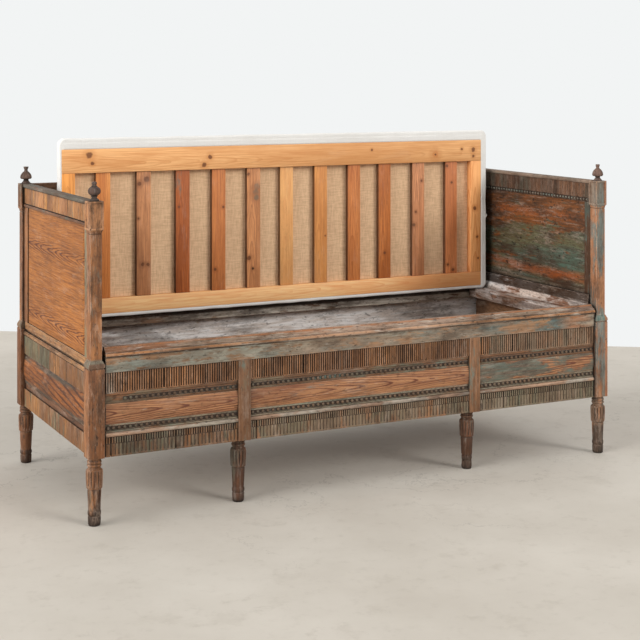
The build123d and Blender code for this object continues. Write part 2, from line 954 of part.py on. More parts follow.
with BuildPart() as slat_stop:
    add_box(
        (bearer_x[0] + stop_clearance, bearer_x[1] - stop_clearance),
        (stop_front, slat_rear),
        (rail_bottom, slat_deck),
    )
    for index in range(1, bed_slats, 2):
        centre = first_slat + index * slat_pitch
        add_box(
            (centre - slat_width / 2 - slat_gap / 2, centre + slat_width / 2 + slat_gap / 2),
            (stop_front, slat_rear),
            (bearer_top - slide_clearance, slat_deck),
            mode=Mode.SUBTRACT,
        )
save(slat_stop, "slat_stop")

# ---------------------------------------------------------------- seat lid
frame_x = (
    lid_left + lid_rim + lid_frame_shift,
    lid_right - lid_rim + lid_frame_shift,
)
frame_z = (lid_bottom + lid_near_rim, lid_top - lid_far_rim)
frame_back = lid_front + lid_frame_thickness
opening_x = (frame_x[0] + lid_end_rail_width, frame_x[1] - lid_end_rail_width)
opening_z = (frame_z[0] + lid_near_rail_height, frame_z[1] - lid_far_rail_height)
make_board("lid_far_rail", frame_x, (lid_front, frame_back), (opening_z[1], frame_z[1]))
make_board("lid_near_rail", frame_x, (lid_front, frame_back), (frame_z[0], opening_z[0]))
make_board("lid_left_rail", (frame_x[0], opening_x[0]), (lid_front, frame_back), opening_z)
make_board("lid_right_rail", (opening_x[1], frame_x[1]), (lid_front, frame_back), opening_z)

slat_front = lid_front + lid_slat_recess
lid_slat_pitch = (opening_x[1] - opening_x[0] - 2 * lid_slat_inset) / (len(lid_slat_drift) - 1)
with BuildPart() as lid_slats:
    for index, drift in enumerate(lid_slat_drift):
        centre = opening_x[0] + lid_slat_inset + lid_first_slat_shift + index * lid_slat_pitch + drift
        add_box(
            (centre - lid_slat_width / 2, centre + lid_slat_width / 2),
            (slat_front, slat_front + lid_slat_thickness),
            opening_z,
        )
save(lid_slats, "lid_slats")

make_board("lid_burlap", opening_x, (frame_back - burlap_thickness, frame_back), opening_z)

with BuildPart() as lid_cushion:
    add_box((lid_left, lid_right), (lid_front, lid_front + lid_thickness), (lid_bottom, lid_top))
    add_box(frame_x, (lid_front, frame_back), frame_z, mode=Mode.SUBTRACT)
save(lid_cushion, "lid_cushion")
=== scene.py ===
"""Dress the pull-out bench bed: turned posts, reeded front, worn paint, slatted lid and linen."""

import logging
import math
from dataclasses import dataclass, field
from enum import Enum
from functools import lru_cache, partial
from typing import Callable, Sequence

import bmesh
import bpy
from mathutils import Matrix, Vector, noise


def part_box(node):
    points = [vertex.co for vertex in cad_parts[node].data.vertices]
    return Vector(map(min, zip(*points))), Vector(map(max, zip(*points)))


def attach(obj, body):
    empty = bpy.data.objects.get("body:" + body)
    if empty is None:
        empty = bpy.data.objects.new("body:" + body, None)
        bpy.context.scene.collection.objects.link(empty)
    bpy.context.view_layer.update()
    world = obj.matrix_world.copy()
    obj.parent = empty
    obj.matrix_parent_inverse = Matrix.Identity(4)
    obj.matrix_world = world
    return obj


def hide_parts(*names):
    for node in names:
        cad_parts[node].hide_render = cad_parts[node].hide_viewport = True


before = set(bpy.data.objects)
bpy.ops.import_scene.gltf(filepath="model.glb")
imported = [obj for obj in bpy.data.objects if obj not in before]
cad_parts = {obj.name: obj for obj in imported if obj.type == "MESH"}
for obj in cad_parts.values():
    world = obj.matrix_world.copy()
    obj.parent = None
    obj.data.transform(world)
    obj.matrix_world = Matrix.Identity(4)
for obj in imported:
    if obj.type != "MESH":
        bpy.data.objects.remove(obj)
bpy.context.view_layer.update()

LOG = logging.getLogger("bench")

Colour = tuple[float, float, float, float]
Point = tuple[float, float, float]
Pair = tuple[float, float]
Piece = bpy.types.Object


class Axis(Enum):
    """A main axis of the bench, named for what runs along it."""

    X = 0
    Y = 1
    Z = 2


def tone(red: int, green: int, blue: int) -> Colour:
    """Turn a display colour into a linear one.

    Args:
        red: Red from 0 to 255.
        green: Green from 0 to 255.
        blue: Blue from 0 to 255.

    Returns:
        The linear colour with full alpha.
    """

    def linear(value: int) -> float:
        """Undo the display curve for one channel."""
        share = value / 255
        return share / 12.92 if share <= 0.04045 else ((share + 0.055) / 1.055) ** 2.4

    return (linear(red), linear(green), linear(blue), 1.0)


BLUE_GREEN = tone(100, 124, 116)
GREY_GREEN = tone(126, 124, 108)
CHALK = tone(208, 202, 190)
SOOT = tone(30, 24, 20)
UMBER = tone(58, 42, 31)
HONEY = tone(160, 108, 68)
DRAB = tone(126, 104, 82)
RUST = tone(92, 54, 34)

# Sizes that several sub-assemblies share, in metres.
POST_AXIS = 0.912
BLOCK_HALF = 0.02475
CASE_LOW = 0.198
RAIL_TOP = 0.950
REED_PITCH = 0.0077
PEARL_PITCH = 0.0173

# The gap between the bands of a wave texture at scale 1, and the colour sockets of a Mix node.
WAVE_GAP = 0.314
MIX_FIRST = 6
MIX_SECOND = 7
MIX_RESULT = 2

# How far rubbed edges reach, and how far grime and painted shade in corners reach, in metres.
RUBBED_REACH = 0.0035
GRIME_AND_SHADE_REACH = 0.022

# Two places nearer than this are the same, in metres.
CLOSE = 1e-5


# ------------------------------------------------------------------ wiring of the finishes
class Wiring:
    """A tree of shader nodes under construction."""

    def __init__(self, tree: bpy.types.NodeTree) -> None:
        """Start with an empty tree."""
        self.tree = tree
        tree.nodes.clear()

    def node(self, kind: str, inputs: dict[str | int, object] | None = None,
             **settings: object) -> bpy.types.Node:
        """Add a node.

        Args:
            kind: The node's type.
            inputs: What each of its inputs is linked to or set to.
            **settings: Its own options.

        Returns:
            The node.
        """
        made = self.tree.nodes.new(kind)
        for option, value in settings.items():
            setattr(made, option, value)
        for name, value in (inputs or {}).items():
            if isinstance(value, bpy.types.NodeSocket):
                self.tree.links.new(value, made.inputs[name])
            else:
                made.inputs[name].default_value = value
        return made

    def maths(self, kind: str, first: object, second: object = 0.0) -> object:
        """Return what an operation makes of two values."""
        return self.node("ShaderNodeMath", {0: first, 1: second}, operation=kind).outputs[0]


class Shader(Wiring):
    """A material under construction, with short methods for what the finishes share."""

    def __init__(self, name: str) -> None:
        """Start an empty material.

        Args:
            name: The material's name.
        """
        self.material = bpy.data.materials.new(name)
        self.material.use_nodes = True
        super().__init__(self.material.node_tree)
        self.place = self.node("ShaderNodeTexCoord").outputs["Object"]

    def scaled(self, scale: Point, shift: Point = (0, 0, 0)) -> object:
        """Return the object's coordinates scaled, then shifted."""
        values = {"Vector": self.place, "Scale": scale, "Location": shift}
        return self.node("ShaderNodeMapping", values).outputs["Vector"]

    def noise(self, vector: object, scale: float, detail: float = 3, rough: float = 0.55) -> object:
        """Return the value of a noise texture.

        Args:
            vector: Where the texture is read.
            scale: How fine it is.
            detail: How many finer layers it has.
            rough: How strong the finer layers are.

        Returns:
            The value's socket.
        """
        values = {"Vector": vector, "Scale": scale, "Detail": detail, "Roughness": rough}
        return self.node("ShaderNodeTexNoise", values).outputs["Fac"]

    def remap(self, value: object, low: object, high: object, start: float = 0, end: float = 1) -> object:
        """Map a value from one range to another, smoothly and within the new range.

        Args:
            value: The value to map.
            low: Where the old range starts.
            high: Where it ends.
            start: What low becomes.
            end: What high becomes.

        Returns:
            The mapped value's socket.
        """
        values = {"Value": value, "From Min": low, "From Max": high, "To Min": start, "To Max": end}
        return self.node("ShaderNodeMapRange", values, interpolation_type="SMOOTHSTEP").outputs["Result"]

    def plus(self, first: object, second: object) -> object:
        """Return the sum of two values."""
        return self.maths("ADD", first, second)

    def minus(self, first: object, second: object) -> object:
        """Return the difference of two values."""
        return self.maths("SUBTRACT", first, second)

    def times(self, first: object, second: object) -> object:
        """Return the product of two values."""
        return self.maths("MULTIPLY", first, second)

    def length(self, first: object, second: object) -> object:
        """Return the length of a step from its two parts."""
        return self.maths("SQRT", self.plus(self.times(first, first), self.times(second, second)))

    def mixed(self, share: object, first: object, second: object) -> object:
        """Return two colours mixed by a share."""
        values = {"Factor": share, MIX_FIRST: first, MIX_SECOND: second}
        return self.node("ShaderNodeMix", values, data_type="RGBA").outputs[MIX_RESULT]

    def ramp(self, value: object, stops: Sequence[tuple[float, Colour]]) -> object:
        """Return a colour picked along a ramp.

        Args:
            value: The place on the ramp.
            stops: The ramp's places and their colours.

        Returns:
            The colour's socket.
        """
        made = self.node("ShaderNodeValToRGB", {"Fac": value})
        elements = made.color_ramp.elements
        while len(elements) < len(stops):
            elements.new(0.5)
        for element, (where, colour) in zip(elements, stops):
            element.position = where
            element.color = colour
        return made.outputs["Color"]

    def along(self, axis: Axis) -> object:
        """Return the object's coordinate along one axis."""
        return self.node("ShaderNodeSeparateXYZ", {"Vector": self.place}).outputs[axis.value]

    def bump(self, height: object, strength: float, distance: float) -> object:
        """Return a normal pushed about by a height.

        Args:
            height: The height.
            strength: How much of it is used.
            distance: What a height of 1 stands for, in metres.

        Returns:
            The normal's socket.
        """
        values = {"Strength": strength, "Distance": distance, "Height": height}
        return self.node("ShaderNodeBump", values).outputs["Normal"]

    def finish(self, colour: object, rough: object, normal: object, **extras: float) -> bpy.types.Material:
        """Close the material with its surface shader.

        Args:
            colour: The base colour.
            rough: The roughness.
            normal: The bumped normal.
            **extras: Plain values for other sockets, with spaces written as underscores.

        Returns:
            The finished material.
        """
        values = {"Base Color": colour, "Roughness": rough, "Normal": normal}
        values.update({socket.replace("_", " "): value for socket, value in extras.items()})
        surface = self.node("ShaderNodeBsdfPrincipled", values)
        self.node("ShaderNodeOutputMaterial", {"Surface": surface.outputs["BSDF"]})
        return self.material


@dataclass(frozen=True)
class Fade:
    """A change in how much paint is left from one place to another along an axis."""

    axis: Axis
    start: float
    end: float
    change: float


@dataclass(frozen=True)
class Band:
    """A stretch along an axis that is tinted with a colour of its own."""

    axis: Axis
    low: float
    high: float
    colour: Colour
    share: float = 0.8
    soft: float = 0.004
    solid: bool = False


@dataclass(frozen=True)
class Knot:
    """A knot in a board, by its place on the face and its radius."""

    x: float
    z: float
    radius: float
    colour: Colour = tone(104, 62, 40)


@dataclass(frozen=True)
class Layer:
    """A colour that shows where a noise drawn out along the grain is high enough."""

    colour: object
    share: float
    start: float
    full: float
    lengthwise: float
    across: float
    shift: Point
    detail: float
    rough: float


@dataclass(frozen=True)
class OldPine:
    """Old pine with its grain, what is left of its paint, grime and painted shade in its corners, and worn
    edges.
    """

    name: str
    grain: Axis = Axis.X
    pale: Colour = HONEY
    dark: Colour = RUST
    paint: Colour = GREY_GREEN
    second_paint: Colour = BLUE_GREEN
    cover: float = 0.3
    fades: tuple[Fade, ...] = ()
    bands: tuple[Band, ...] = ()
    knots: tuple[Knot, ...] = ()
    piths: tuple[float, ...] = (0.0,)
    pith_depth: float = 0.0
    ring_gap: float = 0.006
    climb: float = 0.05
    drift: float = 0.65
    flame: float = 0.5
    flame_reach: float = 0.05
    grime_and_shade: float = 0.6
    stain: float = 0.6
    chalk: float = 0.02
    wear: float = 0.5
    reed_pitch: float = 0.0
    gloss: float = 0.6
    seed: float = 0.0

    def stretch(self, lengthwise: float, across: float) -> Point:
        """Return a scale that differs along the grain and across it."""
        scale = [across, across, across]
        scale[self.grain.value] = lengthwise
        return (scale[0], scale[1], scale[2])

    def streaked(self, shader: Shader, lengthwise: float, across: float, shift: Point, detail: float,
                 rough: float = 0.55) -> object:
        """Return a noise that is drawn out along the grain."""
        return shader.noise(shader.scaled(self.stretch(lengthwise, across), shift), 1.0, detail, rough)

    def face_axes(self) -> tuple[Axis, Axis]:
        """Return the axis across the grain that the pith lines are placed on, and the one into the wood."""
        if self.grain is Axis.Z:
            return Axis.X, Axis.Y
        return Axis.Z, (Axis.Y if self.grain is Axis.X else Axis.X)

    def from_pith(self, shader: Shader) -> object:
        """Return the distance across the face to the nearest pith line."""
        across = shader.along(self.face_axes()[0])
        nearest = None
        for line in self.piths:
            gap = shader.maths("ABSOLUTE", shader.minus(across, line))
            nearest = gap if nearest is None else shader.maths("MINIMUM", nearest, gap)
        return nearest

    def rings(self, shader: Shader, gap: object) -> object:
        """Return the growth rings, as arcs about the pith lines.

        Args:
            shader: The material under construction.
            gap: The distance across the face to the nearest pith line.

        Returns:
            The ring pattern, from 0 in the early wood to 1 in the late wood.
        """
        inward = shader.minus(shader.along(self.face_axes()[1]), self.pith_depth)
        lengthwise = shader.along(self.grain)
        climb = shader.times(lengthwise, self.climb)
        place = shader.node("ShaderNodeCombineXYZ", {
            "X": shader.plus(shader.length(gap, inward), climb),
            "Y": shader.times(lengthwise, 0.25),
            "Z": shader.plus(gap, self.seed),
        })
        wave = shader.node("ShaderNodeTexWave", {
            "Vector": place.outputs["Vector"],
            "Scale": WAVE_GAP / self.ring_gap,
            "Distortion": 7.0,
            "Detail": 3.0,
            "Detail Scale": 0.55,
        }, wave_type="BANDS", bands_direction="X", wave_profile="SAW")
        return wave.outputs["Fac"]

    def wood(self, shader: Shader, fibre: object) -> tuple[object, object]:
        """Wire the bare wood.

        Args:
            shader: The material under construction.
            fibre: The value of the fine fibres.

        Returns:
            The wood's colour and its ring pattern.
        """
        gap = self.from_pith(shader)
        pattern = self.rings(shader, gap)
        near = shader.remap(gap, self.flame_reach * 0.35, self.flame_reach, 1.0, 0.22 / max(1.0, self.flame))
        patchy = self.streaked(shader, 1.6, 9, (self.seed, 0, self.seed), 3)
        near = shader.times(near, shader.remap(patchy, 0.36, 0.60, 0.25, 1.0))
        late = shader.times(shader.remap(pattern, 0.55, 0.98, 0, self.flame * 1.5), near)
        colour = shader.mixed(late, self.pale, self.dark)
        drift = self.streaked(shader, 1.5, 7.0, (self.seed, 0, 0), 5, 0.6)
        colour = shader.mixed(shader.remap(drift, 0.40, 0.62, 0, self.drift), colour, self.dark)
        colour = shader.mixed(shader.remap(fibre, 0.42, 0.66, 0, 0.45), colour, self.dark)
        pores = self.streaked(shader, 10, 320, (1, self.seed, 4), 2, 0.5)
        colour = shader.mixed(shader.remap(pores, 0.50, 0.66, 0, 0.50), colour, self.dark)
        return self.with_knots(shader, colour), pattern

    def with_knots(self, shader: Shader, colour: object) -> object:
        """Darken the wood at each knot."""
        for knot in self.knots:
            across = shader.minus(shader.along(Axis.X), knot.x)
            up = shader.minus(shader.along(Axis.Z), knot.z)
            reach = shader.length(across, up)
            wobble = shader.minus(shader.noise(shader.place, 90, 2), 0.5)
            reach = shader.plus(reach, shader.times(wobble, knot.radius * 0.9))
            core = shader.remap(reach, knot.radius * 0.65, knot.radius * 1.2, 0.85, 0)
            halo = shader.remap(reach, knot.radius * 1.1, knot.radius * 2.8, 0.55, 0)
            colour = shader.mixed(halo, colour, self.dark)
            colour = shader.mixed(core, colour, knot.colour)
        return colour

    def edges(self, shader: Shader) -> object:
        """Return how much of a sharp edge each spot is."""
        bevel = shader.node("ShaderNodeBevel", {"Radius": RUBBED_REACH}, samples=4)
        geometry = shader.node("ShaderNodeNewGeometry")
        both = {0: bevel.outputs["Normal"], 1: geometry.outputs["True Normal"]}
        product = shader.node("ShaderNodeVectorMath", both, operation="DOT_PRODUCT")
        return shader.remap(product.outputs["Value"], 0.86, 0.99, 1, 0)

    def corners(self, shader: Shader) -> object:
        """Return how deep in a corner each spot is, from ambient occlusion; this drives grime and painted
        shade.
        """
        hidden = shader.node("ShaderNodeAmbientOcclusion", {"Distance": GRIME_AND_SHADE_REACH}, samples=8)
        return shader.remap(hidden.outputs["AO"], 0.42, 0.97, 1, 0)

    def reed_tones(self, shader: Shader, colour: object) -> object:
        """Give each reed a shade of its own."""
        index = shader.maths("FLOOR", shader.maths("DIVIDE", shader.along(Axis.X), self.reed_pitch))
        dice = shader.node("ShaderNodeTexWhiteNoise", {"W": index}, noise_dimensions="1D")
        value = dice.outputs["Value"]
        colour = shader.mixed(shader.remap(value, 0.4, 0.9, 0, 0.30), colour, UMBER)
        return shader.mixed(shader.remap(value, 0.0, 0.30, 0.06, 0), colour, CHALK)

    def paint_left(self, shader: Shader, streaks: object, edge: object) -> object:
        """Return where paint is left, from broad patches, streaks, worn edges and fades.

        Args:
            shader: The material under construction.
            streaks: The value of the streaks along the grain.
            edge: How much of an edge each spot is.

        Returns:
            The share of paint.
        """
        patches = self.streaked(shader, 4.5, 13, (self.seed, 0.3, self.seed), 8, 0.68)
        left = shader.plus(shader.times(patches, 0.74), shader.times(streaks, 0.26))
        left = shader.minus(left, shader.times(edge, 0.12 * self.wear))
        for fade in self.fades:
            there = shader.remap(shader.along(fade.axis), fade.start, fade.end)
            left = shader.plus(left, shader.times(there, fade.change * 0.3))
        bar = 0.66 - 0.32 * self.cover
        return shader.remap(left, bar - 0.03, bar + 0.04)

    def layers(self, faded: object) -> tuple[Layer, ...]:
        """Return what lies on the wood and its paint, from the lowest layer up.

        Args:
            faded: The colour of bleached wood.

        Returns:
            The layers.
        """
        seed = self.seed
        return (
            Layer(UMBER, self.stain, 0.47, 0.62, 4, 13, (seed, seed, 1), 8, 0.75),  # stains
            Layer(faded, 0.10 + 0.35 * self.stain, 0.52, 0.66, 6, 22, (seed, 8, 2), 8, 0.78),  # bleached
            Layer(UMBER, self.stain, 0.50, 0.72, 30, 90, (seed, 2, 1), 4, 0.75),  # specks
            Layer(SOOT, self.stain, 0.62, 0.70, 45, 110, (seed, 5, 3), 2, 0.6),  # dents
            Layer(CHALK, 0.45 * self.wear, 0.60, 0.74, 22, 150, (4, seed, 6), 5, 0.72),  # scuffs
            Layer(CHALK, self.chalk * 3, 0.52, 0.72, 14, 120, (1, seed, 0), 5, 0.7),  # chalky traces
            Layer(UMBER, 0.55 * self.stain, 0.54, 0.68, 16, 260, (6, seed, 2), 3, 0.6),  # scratches
        )

    def soiled_and_shaded(self, shader: Shader, colour: object) -> object:
        """Add the layers that lie on the wood and its paint, and grime and painted shade in the corners."""
        for layer in self.layers(shader.mixed(0.5, self.pale, CHALK)):
            streaks = self.streaked(
                shader, layer.lengthwise, layer.across, layer.shift, layer.detail, layer.rough)
            share = shader.remap(streaks, layer.start, layer.full, 0, layer.share)
            colour = shader.mixed(share, colour, layer.colour)
        # Ambient occlusion darkens corners, creases and gaps towards soot: partly grime, partly painted
        # shade.
        corner_grime_and_shade = shader.times(self.corners(shader), self.grime_and_shade)
        return shader.mixed(corner_grime_and_shade, colour, SOOT)

    def build(self) -> bpy.types.Material:
        """Wire the whole finish.

        Returns:
            The finished material.
        """
        shader = Shader(self.name)
        fibre = self.streaked(shader, 5, 190, (self.seed, self.seed, 0), 3)
        colour, pattern = self.wood(shader, fibre)
        if self.reed_pitch:
            colour = self.reed_tones(shader, colour)
        edge = self.edges(shader)
        streaks = self.streaked(shader, 9, 90, (0, self.seed, 0), 3)
        painted = self.paint_left(shader, streaks, edge)
        which = self.streaked(shader, 2.0, 6.0, (0, 0, self.seed), 4)
        coat = shader.mixed(shader.remap(which, 0.42, 0.58), self.paint, self.second_paint)
        coat = shader.mixed(shader.remap(streaks, 0.38, 0.64, 0, 0.45), coat, self.dark)
        colour = shader.mixed(shader.times(painted, 0.90), colour, coat)
        for band in self.bands:
            colour = shader.mixed(self.band_share(shader, band), colour, band.colour)
        worn = shader.mixed(0.45, self.pale, CHALK)
        nicks = shader.remap(self.streaked(shader, 18, 60, (self.seed, 0, 2), 4), 0.40, 0.58)
        rubbed = shader.times(edge, shader.times(nicks, 0.85 * self.wear))
        colour = shader.mixed(rubbed, colour, worn)
        colour = self.soiled_and_shaded(shader, colour)
        height = shader.plus(shader.times(fibre, 0.6), shader.times(pattern, 0.15))
        height = shader.plus(height, shader.times(painted, 0.35))
        rough = shader.remap(painted, 0, 1, self.gloss, self.gloss + 0.16)
        return shader.finish(colour, rough, shader.bump(height, 0.5, 0.0012), Specular_IOR_Level=0.22)

    def band_share(self, shader: Shader, band: Band) -> object:
        """Return how much of a band's tint shows at each spot.

        Args:
            shader: The material under construction.
            band: The band.

        Returns:
            The share of its tint, broken up by the grain unless the band is solid.
        """
        where = shader.along(band.axis)
        rise = shader.remap(where, band.low - band.soft, band.low + band.soft)
        fall = shader.remap(where, band.high - band.soft, band.high + band.soft, 1, 0)
        inside = shader.times(rise, fall)
        if band.solid:
            return shader.times(inside, band.share)
        broken = self.streaked(shader, 5, 30, (self.seed, 1, 0), 5, 0.65)
        return shader.times(inside, shader.remap(broken, 0.30, 0.52, 0, band.share))


@dataclass(frozen=True)
class Weave:
    """A plain woven cloth, from fine linen to coarse hessian."""

    name: str
    light: Colour
    shade: Colour
    thread: float
    relief: float
    slubs: float
    mottle: float

    def build(self) -> bpy.types.Material:
        """Wire the cloth.

        Returns:
            The finished material.
        """
        shader = Shader(self.name)
        lengthwise = self.threads(shader, "X")
        crosswise = self.threads(shader, "Z")
        cells = shader.times(lengthwise, crosswise)
        weft = shader.noise(shader.scaled((26, 60, 0.45 / self.thread)), 1.0, 4, 0.65)
        warp = shader.noise(shader.scaled((0.45 / self.thread, 60, 26)), 1.0, 4, 0.65)
        uneven = shader.plus(shader.times(weft, 0.5), shader.times(warp, 0.5))
        colour = shader.mixed(shader.remap(uneven, 0.40, 0.62, 0, self.slubs), self.light, self.shade)
        colour = shader.mixed(shader.remap(cells, 0.0, 0.5, self.slubs * 0.6, 0), colour, self.shade)
        clouds = shader.noise(shader.scaled((3, 3, 3)), 1.0, 4)
        colour = shader.mixed(shader.remap(clouds, 0.45, 0.70, 0, self.mottle), colour, self.shade)
        height = shader.plus(cells, shader.times(uneven, 0.6))
        return shader.finish(colour, 0.92, shader.bump(height, 0.55, self.relief), Sheen_Weight=0.15)

    def threads(self, shader: Shader, direction: str) -> object:
        """Return the ridges of the threads that lie side by side along one direction."""
        bands = shader.node("ShaderNodeTexWave", {
            "Vector": shader.place,
            "Scale": math.pi / (10 * self.thread),
            "Distortion": 1.2,
            "Detail Scale": 0.3,
        }, wave_type="BANDS", bands_direction=direction)
        return bands.outputs["Fac"]


@lru_cache(maxsize=None)
def dressed(finish: OldPine | Weave) -> bpy.types.Material:
    """Build a finish once, and return its material each time it is asked for."""
    return finish.build()


# ------------------------------------------------------------------ modelling helpers
def pick_nothing() -> None:
    """Deselect every object."""
    bpy.ops.object.select_all(action="DESELECT")


def pick_only(piece: Piece) -> None:
    """Select one object and make it the active one."""
    pick_nothing()
    piece.select_set(True)
    bpy.context.view_layer.objects.active = piece


def block(name: str, low: Sequence[float], high: Sequence[float]) -> Piece:
    """Add a block between two corners, with its place in its mesh.

    Args:
        name: The block's name.
        low: Its lowest corner.
        high: Its highest corner.

    Returns:
        The block.
    """
    pick_nothing()
    middle = [(a + b) / 2 for a, b in zip(low, high)]
    bpy.ops.mesh.primitive_cube_add(size=1, location=middle, scale=[b - a for a, b in zip(low, high)])
    made = bpy.context.object
    made.name = name
    bpy.ops.object.transform_apply(location=True, rotation=True, scale=True)
    return made


def modified(piece: Piece, kind: str, **settings: object) -> Piece:
    """Give a piece one modifier and apply it.

    Args:
        piece: The piece to change.
        kind: The modifier's type.
        **settings: The modifier's options.

    Returns:
        The same piece.
    """
    pick_only(piece)
    modifier = piece.modifiers.new(kind.title(), kind)
    for option, value in settings.items():
        setattr(modifier, option, value)
    bpy.ops.object.modifier_apply(modifier=modifier.name)
    return piece


def repeated(piece: Piece, count: int, step: float) -> Piece:
    """Repeat a piece along X."""
    return modified(piece, "ARRAY", count=count, use_relative_offset=False, use_constant_offset=True,
                    constant_offset_displace=(step, 0, 0))


def eased(piece: Piece, width: float, segments: int = 2) -> Piece:
    """Round a piece's sharp edges."""
    return modified(piece, "BEVEL", width=width, segments=segments, limit_method="ANGLE")


def smooth(piece: Piece, degrees: float = 35) -> Piece:
    """Shade a piece smooth, apart from its sharp edges."""
    pick_only(piece)
    bpy.ops.object.shade_smooth_by_angle(angle=math.radians(degrees))
    return piece


def bevelled(piece: Piece, wanted: Callable[[bmesh.types.BMEdge], bool], width: float,
             segments: int = 1, profile: float = 0.5) -> Piece:
    """Bevel the edges of a piece that pass a test.

    Args:
        piece: The piece to change.
        wanted: The test on each edge.
        width: How far the bevel reaches from the edge.
        segments: Its number of strips.
        profile: Its roundness, where 0.5 is a plain arc.

    Returns:
        The same piece.
    """
    bpy.ops.object.mode_set(mode="EDIT")
    mesh = bmesh.from_edit_mesh(piece.data)
    for edge in mesh.edges:
        edge.select = wanted(edge)
    bmesh.update_edit_mesh(piece.data)
    bpy.ops.mesh.bevel(offset=width, segments=segments, profile=profile)
    bpy.ops.object.mode_set(mode="OBJECT")
    return piece


def span_of(edge: bmesh.types.BMEdge, axis: Axis) -> float:
    """Return how far an edge reaches along an axis."""
    first, second = edge.verts
    return abs(first.co[axis.value] - second.co[axis.value])


def joined(name: str, pieces: Sequence[Piece]) -> Piece:
    """Join pieces into one that keeps all their materials.

    Args:
        name: The joined piece's name.
        pieces: The pieces, of which the first takes in the others.

    Returns:
        The joined piece.
    """
    pick_nothing()
    for piece in pieces:
        piece.select_set(True)
    bpy.context.view_layer.objects.active = pieces[0]
    if len(pieces) > 1:
        bpy.ops.object.join()
    pieces[0].name = name
    return pieces[0]


def board(name: str, low: Sequence[float], high: Sequence[float], edge: float = 0.0015) -> Piece:
    """Make a plain board with eased edges."""
    return smooth(eased(block(name, low, high), edge))


def coat(piece: Piece, finish: OldPine | Weave) -> Piece:
    """Give a piece one finish all over."""
    piece.data.materials.clear()
    piece.data.materials.append(dressed(finish))
    return piece


def hand_over(piece: Piece, body: str, slot: str, *nodes: str) -> Piece:
    """Say what a finished piece rides on and stands for.

    Args:
        piece: The finished piece.
        body: The body that it moves with.
        slot: Not used.
        *nodes: The nodes that it stands for.

    Returns:
        The same piece.
    """
    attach(piece, body)
    if nodes:
        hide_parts(*nodes)
    LOG.info("%s rides on %s, %d faces", piece.name, body, len(piece.data.polygons))
    return piece


def dress_node(node: str, finish: OldPine | Weave) -> None:
    """Give a solid of the frame a finish, and leave its shape alone."""
    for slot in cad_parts[node].material_slots:
        slot.material = dressed(finish)
    LOG.info("%s is dressed in %s", node, finish.name)


def remade_board(node: str, finish: OldPine, body: str, slot: str, edge: float = 0.0015) -> None:
    """Make a plain board with eased edges in place of a node.

    Args:
        node: The node.
        finish: The board's finish.
        body: The body that it moves with.
        slot: The material slot of the record that it belongs to.
        edge: The width of the easing.
    """
    low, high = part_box(node)
    hand_over(coat(board(f"{node}_board", low, high, edge), finish), body, slot, node)


def upright_axis(node: str) -> Pair:
    """Return X and Y of the middle of a node."""
    low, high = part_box(node)
    return (low.x + high.x) / 2, (low.y + high.y) / 2


def select_faces(piece: Piece, wanted: Callable[[bmesh.types.BMFace], bool]) -> None:
    """Select faces of the piece being edited.

    Args:
        piece: The piece.
        wanted: The test on each face.
    """
    mesh = bmesh.from_edit_mesh(piece.data)
    for face in mesh.faces:
        face.select = False
    for face in mesh.faces:
        if wanted(face):
            face.select = True
    mesh.select_flush(True)
    bmesh.update_edit_mesh(piece.data)


def turned(name: str, centre: Pair, profile: Sequence[Pair], sides: int = 48) -> Piece:
    """Turn a profile about an upright axis, by extruding a ring up and resizing it.

    Args:
        name: The piece's name.
        centre: The axis in X and Y.
        profile: Radius and height of each ring, from the bottom up.
        sides: The number of sides. Four gives a square section, with the radius as half its width.

    Returns:
        The turned piece.
    """
    square = math.sqrt(2) if sides == 4 else 1.0
    radius, height = profile[0]
    pick_nothing()
    bpy.ops.mesh.primitive_circle_add(
        vertices=sides,
        radius=radius * square,
        fill_type="NGON",
        location=(centre[0], centre[1], height),
        rotation=(0, 0, math.pi / 4 if sides == 4 else 0),
    )
    made = bpy.context.object
    made.name = name
    bpy.ops.object.transform_apply(location=True, rotation=True, scale=True)
    bpy.ops.object.mode_set(mode="EDIT")
    bpy.ops.mesh.select_all(action="SELECT")
    for next_radius, next_height in profile[1:]:
        bpy.ops.mesh.extrude_region_move(
            TRANSFORM_OT_translate={"value": (0, 0, next_height - height)}
        )
        share = next_radius / radius
        bpy.ops.transform.resize(value=(share, share, 1), center_override=(*centre, next_height))
        radius, height = next_radius, next_height
    bpy.ops.mesh.select_all(action="SELECT")
    bpy.ops.mesh.normals_make_consistent(inside=False)
    bpy.ops.object.mode_set(mode="OBJECT")
    return made


def reeded(name: str, left: float, right: float, front: float, back: float, low: float, high: float,
           pitch: float = REED_PITCH, share: float = 0.68) -> Piece:
    """Make a run of upright reeds side by side, from one reed and an array.

    Args:
        name: The run's name.
        left: Its lowest X.
        right: Its highest X.
        front: Y of the crowns of the reeds.
        back: Y of the board behind them.
        low: Its bottom.
        high: Its top.
        pitch: The distance from reed to reed.
        share: The share of the pitch that the reed takes, the rest being the groove.

    Returns:
        The run of reeds on its ground.
    """
    count = max(1, round((right - left) / pitch))
    step = (right - left) / count
    width = step * share
    start = left + (step - width) / 2
    reed = block(name, (start, front, low), (start + width, back, high))

    def on_crown(edge: bmesh.types.BMEdge) -> bool:
        """Tell whether an edge is at the front, and upright or at the top."""
        at_front = all(abs(corner.co.y - front) < CLOSE for corner in edge.verts)
        upright = span_of(edge, Axis.Z) > 0.5 * (high - low)
        return at_front and (upright or abs(edge.verts[0].co.z - high) < CLOSE)

    bevelled(reed, on_crown, width * 0.40, 2, 0.6)
    repeated(reed, count, step)
    ground = block(f"{name}_ground", (left, back - 0.0016, low), (right, back, high))
    return joined(name, [reed, ground])


